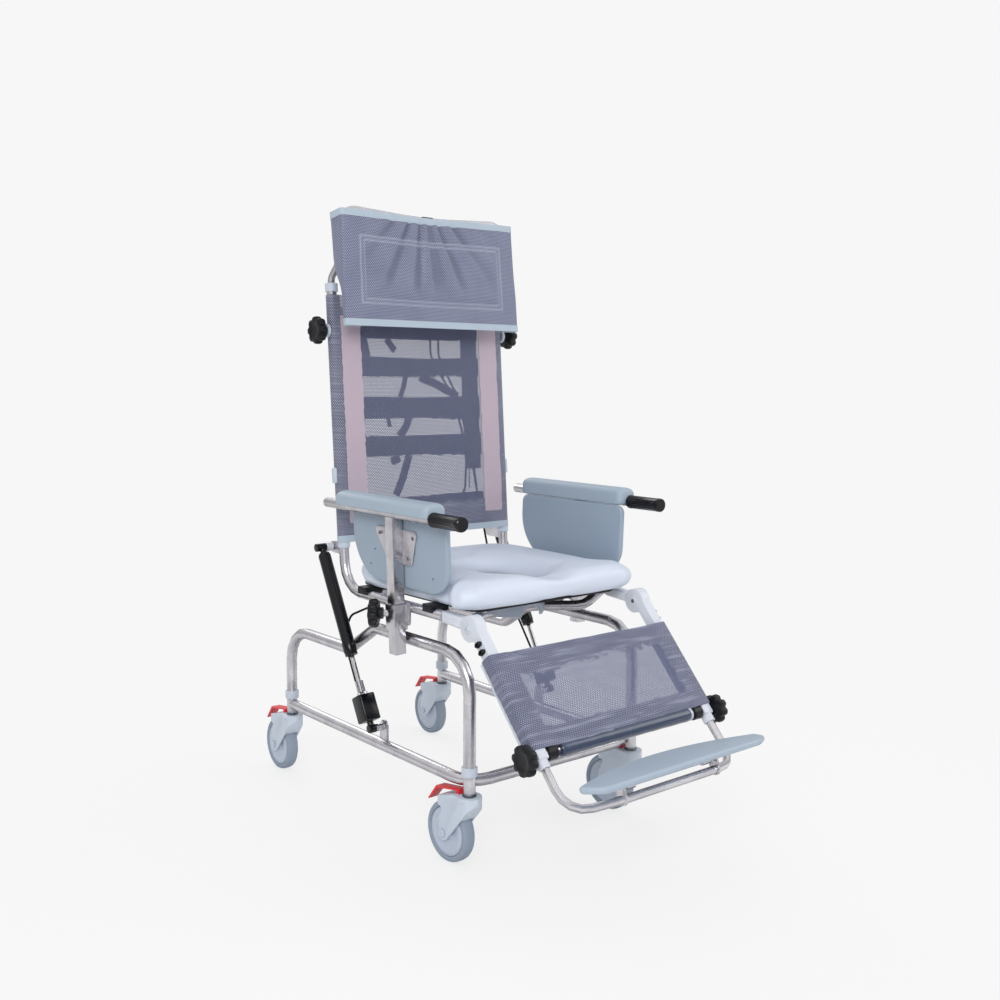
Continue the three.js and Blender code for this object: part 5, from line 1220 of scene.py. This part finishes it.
# %% Leg sling
LEG_LOW, LEG_HIGH, LEG_ROWS = -264, -71.5, 52
LEG_EDGE, LEG_REAR, LEG_FRONT = 242.6, 5.6, -23.6
LEG_LINE = flat_line(
    [(-201, -14), (-201, LEG_REAR), (-LEG_EDGE, LEG_REAR), (-LEG_EDGE, LEG_FRONT), (LEG_EDGE, LEG_FRONT),
     (LEG_EDGE, LEG_REAR), (201, LEG_REAR), (201, -14)], 5, 4.5)
leg_lengths = lengths_along(LEG_LINE)
LEG_HALF = leg_lengths[-1] / 2


def leg_spot(i, j):
    (x, out), up = LEG_LINE[i], LEG_LOW + (LEG_HIGH - LEG_LOW) * j / LEG_ROWS
    front = soft_step(14, 20, -out) * soft_step(-209, -176, -abs(x))
    hems = 1.7 * bell(up - LEG_HIGH, 42) + 1.3 * bell(up - LEG_LOW, 40)
    crease = math.sin(up * 0.36 + 0.012 * x + rough((x, up), 60, 3.2, 5.0)) * hems
    puckers = rough((x, up * 3), 46, 2.0, 6.0)
    droop = 5 + 4 * math.cos(math.pi * min(abs(x), 240) / 480)
    lowered = up - droop * soft_step(-LEG_LOW - 90, -LEG_LOW, -up)
    return (x, out + front * (3.2 + crease + puckers), lowered), (leg_lengths[i] - LEG_HALF, up)


def leg_thin(across, along):
    edge = rough((across, along), 16, 9, 8.0)
    low = soft_step(LEG_LOW + 34, LEG_LOW + 38, along + edge * 0.5)
    high = soft_step(LEG_HIGH - 40, LEG_HIGH - 46, along + edge * 1.6 + 10 * soft_step(-20, -120, across))
    return low * high * soft_step(196, 190, abs(across) + edge)


leg_sling = move(cloth_grid("leg_sling", len(LEG_LINE) - 1, LEG_ROWS, leg_spot, 1.7, thin=leg_thin), LEG)
for side, sign in SIDES.items():
    edge_line = [Vector((sign * (243.4 + rough((up, 0), 12, 0.8)), 6.6, up)) * MM
                 for up in range(-263, -72, 4)]
    pipe = move(swept(f"leg_piping_{side}", edge_line, 1.7 * MM, 8), LEG)
    dress(pipe, "legrest", COLLAR_GREY)
for side, low, x in (("left", -118, -110), ("right", -112, 118)):
    band = strip(f"leg_strap_top_{side}", upright_band(x, 24, low, -74), 6, 24, lambda x, up: -14.5,
                 1.4, 2.0, x)
    dress(move(band, LEG), "legrest", STRAP_DARK)
settle(leg_sling, "leg_panel", LEG_MESH)
print("leg sling:", len(leg_sling.data.polygons), "faces")

# %% [markdown]
# ## The calf roll
# A dark foam roll turns on the bar under the sling. It is a little uneven along its length, and has a black
# cap at each end and a pale ring beside the left one.

# %% Roll with caps
ROLL_RADIUS, ROLL_END, BAR_HOLE = 13.8, 176, 8.3
roll_rise = [(8.4, ROLL_END), (11.5, ROLL_END), (13.2, 174), (ROLL_RADIUS, 170)]
roll_middle = [(ROLL_RADIUS - 0.5 * math.sin(math.pi * (k + 0.5) / 24) + 0.25 * math.sin(k * 1.9),
                -166 + 332 * k / 24) for k in range(25)]
ROLL_OUTLINE = [*[(radius, -along) for radius, along in roll_rise], *roll_middle, *reversed(roll_rise),
                (8.4, -ROLL_END)]
roll_place = LEG @ shifted(0, -10, -277) @ AXIS_TO_X
roll = turned("calf_roll", ROLL_OUTLINE)
for vertex in roll.data.vertices:
    vertex.co.y += rough((vertex.co.z / MM, vertex.co.x / MM), 22, 0.3 * MM, 2.0)
settle(move(roll, roll_place), "leg_roll", ROLL_DARK)
ring = roll_place @ shifted(0, 0, 176.5)
collar("roll_ring_left", 13.2, 6, ring, "legrest", COLLAR_GREY, BAR_HOLE)
for side, half_turn in (("left", 0), ("right", 180)):
    end = roll_place @ turn("Y", half_turn) @ shifted(0, 0, 188.5)
    collar(f"roll_cap_{side}", 14.4, 22, end, "legrest", KNOB_BLACK, BAR_HOLE)
print("roll:", len(roll.data.polygons), "faces")

# %% [markdown]
# ## The seat cushion
# A thick cushion of skinned foam with an oval opening, soft at every edge and lower at the front of the
# opening. A cloth simulation blows the solid's plain form up a little, as foam fills its skin: the form is
# remeshed in even cells, a light pressure swells it, and no point may move more than a few millimetres.

# %% Cushion from a cloth simulation
SWELL_PRESSURE = 4.0
SWELL_CAP = 5 * MM
SWELL_STEPS = 20
FLARE, SIDE_BULGE = 25, 15


def swollen(piece):
    rest = [vertex.co.copy() for vertex in piece.data.vertices]
    pick(piece)
    cloth = piece.modifiers.new("swelling", "CLOTH")
    cloth.settings.use_pressure = True
    cloth.settings.uniform_pressure_force = SWELL_PRESSURE
    cloth.settings.tension_stiffness = 12
    cloth.settings.bending_stiffness = 8
    cloth.settings.effector_weights.gravity = 0
    cloth.point_cache.frame_start = 1
    cloth.point_cache.frame_end = SWELL_STEPS
    for number in range(1, SWELL_STEPS + 1):
        bpy.context.scene.frame_set(number)
    bpy.ops.object.modifier_apply(modifier=cloth.name)
    bpy.context.scene.frame_set(1)
    farthest = 0.0
    for vertex, start in zip(piece.data.vertices, rest):
        way = vertex.co - start
        if way.length > SWELL_CAP:
            vertex.co = start + way.normalized() * SWELL_CAP
        farthest = max(farthest, min(way.length, SWELL_CAP))
    return farthest


def flared(piece):
    """Widens the front corners, and the sides below the armrest panels."""
    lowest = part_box("seat_cushion")[0][2] + 0.2 * MM
    for vertex in piece.data.vertices:
        vertex.co.z = max(vertex.co.z, lowest)
        y, z = vertex.co.y / MM - FRAME_SHIFT, vertex.co.z / MM
        under_panel = SIDE_BULGE * soft_step(-545, -526, -z) * soft_step(-60, -10, -y)
        wanted = max(FLARE * soft_step(250, 322, -y), under_panel)
        wider = max(0.0, wanted - FLARE * soft_step(288, 318, -y))
        side_share = soft_step(150, 205, abs(vertex.co.x) / MM)
        vertex.co.x += math.copysign(wider * side_share * MM, vertex.co.x)


cushion = move(merged_copy("seat_cushion", "seat_cushion_foam"), shifted(0, 0, -0.3))
applied(cushion, "REMESH", mode="VOXEL", voxel_size=5 * MM, use_smooth_shade=True)
applied(cushion, "SMOOTH", factor=0.6, iterations=6)
moved = swollen(cushion)
flared(cushion)
applied(cushion, "SMOOTH", factor=0.5, iterations=4)
applied(cushion, "SUBSURF", levels=1, render_levels=1)
bpy.ops.object.shade_smooth()
settle(cushion, "seat_cushion", SEAT_PALE)
print("cushion swelled by up to", round(moved / MM, 1), "mm,", len(cushion.data.polygons), "faces")

# %% [markdown]
# ## Arm pads
# Each pad is a moulded block of foam that sits over the arm tube: flat below, crowned above, with full round
# ends. Rings of an oval-cornered outline are laid along it, smaller at the two ends, and skinned. A groove
# for the tube is then cut with a Boolean.

# %% Arm pads
PAD_FRONT, PAD_REAR, PAD_END = -145.6, 188, 15
PAD_X, PAD_HALF_WIDTH = -1, 26
PAD_FLOOR, PAD_RISE, PAD_SHRINK = 293, 31, 9
PAD_LIP = 8.5  # how far the pad's inner side hangs down beside the tube
PAD_FILLET_STEPS, PAD_STEPS = 8, 18


def pad_ring(y, full):
    """full is 1 along the pad and falls towards its two ends."""
    ring = []
    for k in range(48):
        angle = 2 * math.pi * k / 48
        c, s = math.cos(angle), math.sin(angle)
        x = math.copysign(abs(c) ** 0.55, c)
        z = math.copysign(abs(s) ** (0.62 if s > 0 else 0.28), s)
        crown = 0.12 * (1 - x * x) if s > 0 else 0.0
        half, rise = (size - (1 - full) * PAD_SHRINK for size in (PAD_HALF_WIDTH, PAD_RISE))
        height = (z * (0.44 + crown) + 0.44) * rise
        if s < 0:
            height -= PAD_LIP * soft_step(-0.05, 0.5, -x) * full
        ring.append(Vector((PAD_X + half * x, y, PAD_FLOOR + height + (1 - full) * 1.5)) * MM)
    return ring


def pad_rings():
    rounds = [math.pi / 2 * k / PAD_FILLET_STEPS for k in range(1, PAD_FILLET_STEPS + 1)]
    front = [(PAD_FRONT + PAD_END * (1 - math.cos(angle)), math.sin(angle)) for angle in rounds]
    run = PAD_REAR - PAD_FRONT - 2 * PAD_END
    middle = [(PAD_FRONT + PAD_END + run * k / PAD_STEPS, 1.0) for k in range(1, PAD_STEPS)]
    rear = [(PAD_FRONT + PAD_REAR - y, full) for y, full in reversed(front)]
    return [pad_ring(y, full) for y, full in [*front, *middle, *rear]]


def lofted(name, rings):
    shape = bmesh.new()
    made = [[shape.verts.new(point) for point in ring] for ring in rings]
    skin(shape, made)
    for ring in (made[0][::-1], made[-1]):
        heart = shape.verts.new(sum((v.co for v in ring), Vector()) / len(ring))
        for one, two in zip(ring, ring[1:] + ring[:1]):
            shape.faces.new((one, two, heart))
    bmesh.ops.recalc_face_normals(shape, faces=shape.faces)
    return piece_from(name, shape)


def cut_by(piece, cutter):
    applied(piece, "BOOLEAN", operation="DIFFERENCE", solver="EXACT", object=cutter)
    drop(cutter)


for side in SIDES:
    pad = lofted(f"arm_pad_{side}_foam", pad_rings())
    tube_line = [Vector((ARM_TUBE_X, y, ARM_TUBE_UP)) * MM for y in (-160, 0, 200)]
    cut_by(pad, swept("tube_room", tube_line, 11.3 * MM, 32))
    smooth_by(move(pad, ARM[side] @ FLIP[side]), 50)
    settle(pad, f"arm_pad_{side}", PAD_BLUE)
print("arm pads done")

# %% [markdown]
# ## Plates with soft edges
# The side panels and the footplate are flat mouldings: an outline, a thickness and a generous round on every
# edge. The outline is filled, extruded and bevelled.

# %% Slabs


def slab(name, outline, thickness, edge, steps=5):
    """An outline in X and Y, in millimetres, made as thick as asked along Z."""
    mesh = bpy.data.meshes.new(name)
    mesh.from_pydata([Vector((x, y, 0)) * MM for x, y in outline], [], [list(range(len(outline)))])
    piece = linked(name, mesh)
    pick(piece)
    bpy.ops.object.mode_set(mode="EDIT")
    bpy.ops.mesh.select_all(action="SELECT")
    bpy.ops.mesh.extrude_region_move(TRANSFORM_OT_translate={"value": (0, 0, thickness * MM)})
    bpy.ops.mesh.select_all(action="SELECT")
    bpy.ops.mesh.normals_make_consistent(inside=False)
    bpy.ops.object.mode_set(mode="OBJECT")
    return round_edges(piece, edge, steps, 50)


def rounded_corner(before, corner, after, radius, steps):
    here = Vector(corner)
    back, on = (Vector(before) - here).normalized(), (Vector(after) - here).normalized()
    half = back.angle(on) / 2
    heart = here + (back + on).normalized() * radius / math.sin(half)
    first, last = (math.atan2(*reversed(here + way * radius / math.tan(half) - heart)) for way in (back, on))
    sweep = (last - first + math.pi) % (2 * math.pi) - math.pi
    angles = [first + sweep * k / steps for k in range(steps + 1)]
    return [(heart.x + radius * math.cos(angle), heart.y + radius * math.sin(angle)) for angle in angles]


def rounded_outline(corners, radii, steps):
    """A corner with the radius 0 stays as it is."""
    outline = []
    for i, (corner, radius) in enumerate(zip(corners, radii)):
        after = corners[(i + 1) % len(corners)]
        outline += rounded_corner(corners[i - 1], corner, after, radius, steps) if radius else [corner]
    return outline


# %% Side panels
PANEL_CORNERS = [(-155, 136), (180, 136), (180, 285), (-155, 285)]
PANEL_ROUNDS = [55, 105, 18, 18]
PANEL_THICKNESS, PANEL_EDGE = 13, 5.6
PANEL_FACE = FLANGE_FACE - 3.3
PANEL_HOLES = [(95, 205), (-108, 168), (112, 172)]
for side in SIDES:
    outline = rounded_outline(PANEL_CORNERS, PANEL_ROUNDS, 14)
    panel = slab(f"side_panel_{side}_foam", outline, PANEL_THICKNESS, PANEL_EDGE)
    move(panel, shifted(PANEL_FACE - PANEL_THICKNESS, 0, 0) @ FLAT_TO_SIDE)
    for y, z in PANEL_HOLES:
        line = [Vector((x, y, z)) * MM for x in (PANEL_FACE - 3.5, PANEL_FACE + 2)]
        cut_by(panel, swept("hole_room", line, 2.6 * MM, 20))
    smooth_by(move(panel, ARM[side] @ FLIP[side]), SMOOTH_ANGLE)
    settle(panel, f"side_panel_{side}", PANEL_BLUE)
print("side panels done")

# %% Footplate with its brackets
PLATE_Y, PLATE_TOP, PLATE_TILT, PLATE_THICKNESS = -708, 268, -6, 13
PLATE_HALF, PLATE_SIDE, PLATE_CROWN = 243, 40, 52
EAR_X, EAR_THICKNESS, EAR_HALF = 104, 8, 8.4
STRIP_HALF, STRIP_THICKNESS, STRIP_REAR = 112, 4, 17
plate_outline = [(-214, 0), (214, 0), (PLATE_HALF, 14), (PLATE_HALF, PLATE_SIDE)]
plate_outline += [(PLATE_HALF * (1 - k / 20), PLATE_SIDE + PLATE_CROWN * (1 - (1 - k / 20) ** 2))
                  for k in range(1, 41)]
PLATE_ROUNDS = [30, 30, 9, 9, *[0] * 39, 9]
plate = slab("footplate_shell", rounded_outline(plate_outline, PLATE_ROUNDS, 5), PLATE_THICKNESS, 5.8, 6)
move(plate, at_place(0, PLATE_Y, PLATE_TOP, "X", PLATE_TILT) @ shifted(0, 0, -PLATE_THICKNESS))
settle(plate, "footplate", PLATE_BLUE)
foot_pivot = LEG @ (Vector((0, -57, -387)) * MM)
pivot = Matrix.Translation(foot_pivot)
ear_rise = PLATE_TOP - 14 - foot_pivot.z / MM
BUSH_OUTLINE = both_faces([(5.3, -11), (7.6, -11), (8.4, -10)])
EAR_OUTLINE = [(-EAR_HALF, 0), (EAR_HALF, 0), (16, ear_rise), (-EAR_HALF, ear_rise)]
for side, sign in SIDES.items():
    bush = turned(f"foot_bush_{side}", BUSH_OUTLINE, 32)
    dress(move(bush, pivot @ shifted(EAR_X * sign, 0, 0) @ AXIS_TO_X), "footplate", SATIN_TUBE)
    ear = slab(f"foot_bracket_{side}", EAR_OUTLINE, EAR_THICKNESS, 1.2, 2)
    move(ear, pivot @ shifted(EAR_X * sign - EAR_THICKNESS / 2, 0, 0) @ FLAT_TO_SIDE)
    pin_line = [foot_pivot + Vector((x * sign, 0, 0)) * MM for x in (90, 120)]
    cut_by(ear, swept("pin_room", pin_line, 8.5 * MM, 32))
    dress(ear, "footplate", SATIN_TUBE)
strip_line = [(-STRIP_HALF, -EAR_HALF), (STRIP_HALF, -EAR_HALF), (STRIP_HALF, STRIP_REAR),
              (-STRIP_HALF, STRIP_REAR)]
strip_plate = slab("foot_strip", strip_line, STRIP_THICKNESS, 1.0, 2)
strip_up = PLATE_TOP - PLATE_THICKNESS - STRIP_THICKNESS - 0.6
dress(move(strip_plate, shifted(0, foot_pivot.y / MM, strip_up)), "footplate", SATIN_TUBE)
print("footplate done")

# %% [markdown]
# ## Small marks
# A black clip sits in the middle of the head frame's bar, and pale saddles hold the sleeves on the outside of
# the back tubes. They are simple blocks with soft edges.

# %% Clip and saddles


def soft_block(name, middle, size, edge, body, finish):
    let_go()
    bpy.ops.mesh.primitive_cube_add(size=1)
    block = bpy.context.object
    block.name = name
    move(block, BACK @ shifted(*middle) @ Matrix.Diagonal((*[length * MM for length in size], 1)))
    dress(round_edges(block, edge, 3), body, finish)


soft_block("head_clip", (0, -46, 819), (31.2, 22, 19.2), 2.4, "headrest", KNOB_BLACK)
for side, sign in SIDES.items():
    soft_block(f"sleeve_saddle_{side}", (244 * sign, 0, 253), (7, 14, 34), 2.6, "seat",
               COLLAR_GREY)
print("small marks done")

# %% [markdown]
# ## Light and floor
# A white room: a pale floor, one large soft lamp high on each side and a sky that darkens downwards, which
# draws a light and a dark line along every tube. The background reads white in the picture because of the
# colour that the camera ray sees, and not because of more light. The floor keeps the chair's soft shadow and
# fades into the background further out, so that no horizon shows.

# %% Floor
FLOOR_SIZE = 60.0
BACKGROUND = linear((247, 247, 247))
SHADOW_SHARE = 0.2
SHADOW_FAR, SHADOW_NEAR = 1.5, 0.7

let_go()
bpy.ops.mesh.primitive_plane_add(size=FLOOR_SIZE, location=(0, 0, 0))
floor = bpy.context.object
floor.name = "floor"
floor_finish, floor_tree, floor_shader = new_material("floor_white")
floor_shader.inputs["Base Color"].default_value = linear((236, 236, 236))
floor_shader.inputs["Roughness"].default_value = 0.9


def sight_rays(tree):
    path = tree.nodes.new("ShaderNodeLightPath").outputs
    return math_node(tree, "MAXIMUM", path["Is Camera Ray"], path["Is Transmission Ray"])


def either(tree, share, first, second, end):
    chooser = tree.nodes.new("ShaderNodeMixShader")
    for number, value in enumerate((share, first, second)):
        feed(tree, value, chooser.inputs[number])
    feed(tree, chooser.outputs[0], tree.nodes[end].inputs["Surface"])


distance = floor_tree.nodes.new("ShaderNodeVectorMath")
distance.operation = "LENGTH"
feed(floor_tree, object_place(floor_tree), distance.inputs[0])
nearness = spread(floor_tree, distance.outputs["Value"], SHADOW_FAR, SHADOW_NEAR)
shaded = times(floor_tree, nearness, SHADOW_SHARE)
glow_share = times(floor_tree, minus(floor_tree, 1.0, shaded), sight_rays(floor_tree))
glow = floor_tree.nodes.new("ShaderNodeEmission")
glow.inputs["Color"].default_value = BACKGROUND
either(floor_tree, glow_share, floor_shader.outputs[0], glow.outputs[0], "Material Output")
floor.data.materials.append(floor_finish)
print("floor", FLOOR_SIZE, "m across")

# %% World and lamps
SKY_LOW, SKY_HIGH = 0.34, 0.88
world = bpy.data.worlds.new("white_room")
bpy.context.scene.world = world
world.use_nodes = True
sky = world.node_tree
plain, seen = sky.nodes["Background"], sky.nodes.new("ShaderNodeBackground")
height = sky.nodes.new("ShaderNodeSeparateXYZ")
feed(sky, sky.nodes.new("ShaderNodeTexCoord").outputs["Generated"], height.inputs[0])
climb = times(sky, spread(sky, height.outputs["Z"], -0.1, 0.75), SKY_HIGH - SKY_LOW)
plain.inputs["Color"].default_value = (1, 1, 1, 1)
feed(sky, plus(sky, climb, SKY_LOW), plain.inputs["Strength"])
seen.inputs["Color"].default_value = BACKGROUND
seen.inputs["Strength"].default_value = 1.0
either(sky, sight_rays(sky), plain.outputs[0], seen.outputs[0], "World Output")

CHAIR_MIDDLE = Vector((0, 0, 0.6))
LAMPS = {  # place, size in metres and power in watts
    "key_lamp": ((-2.6, -2.8, 2.5), 1.4, 74), "fill_lamp": ((2.8, -1.8, 2.2), 2.0, 26),
    "rim_lamp": ((0.4, 3.0, 2.8), 1.8, 30),
}
for name, (place, size, power) in LAMPS.items():
    lamp = linked(name, bpy.data.lights.new(name, "AREA"))
    lamp.data.shape = "SQUARE"
    lamp.data.size = size
    lamp.data.energy = power
    lamp.location = place
    lamp.rotation_euler = (CHAIR_MIDDLE - Vector(place)).to_track_quat("-Z", "Y").to_euler()
bpy.context.scene.view_settings.view_transform = "Standard"
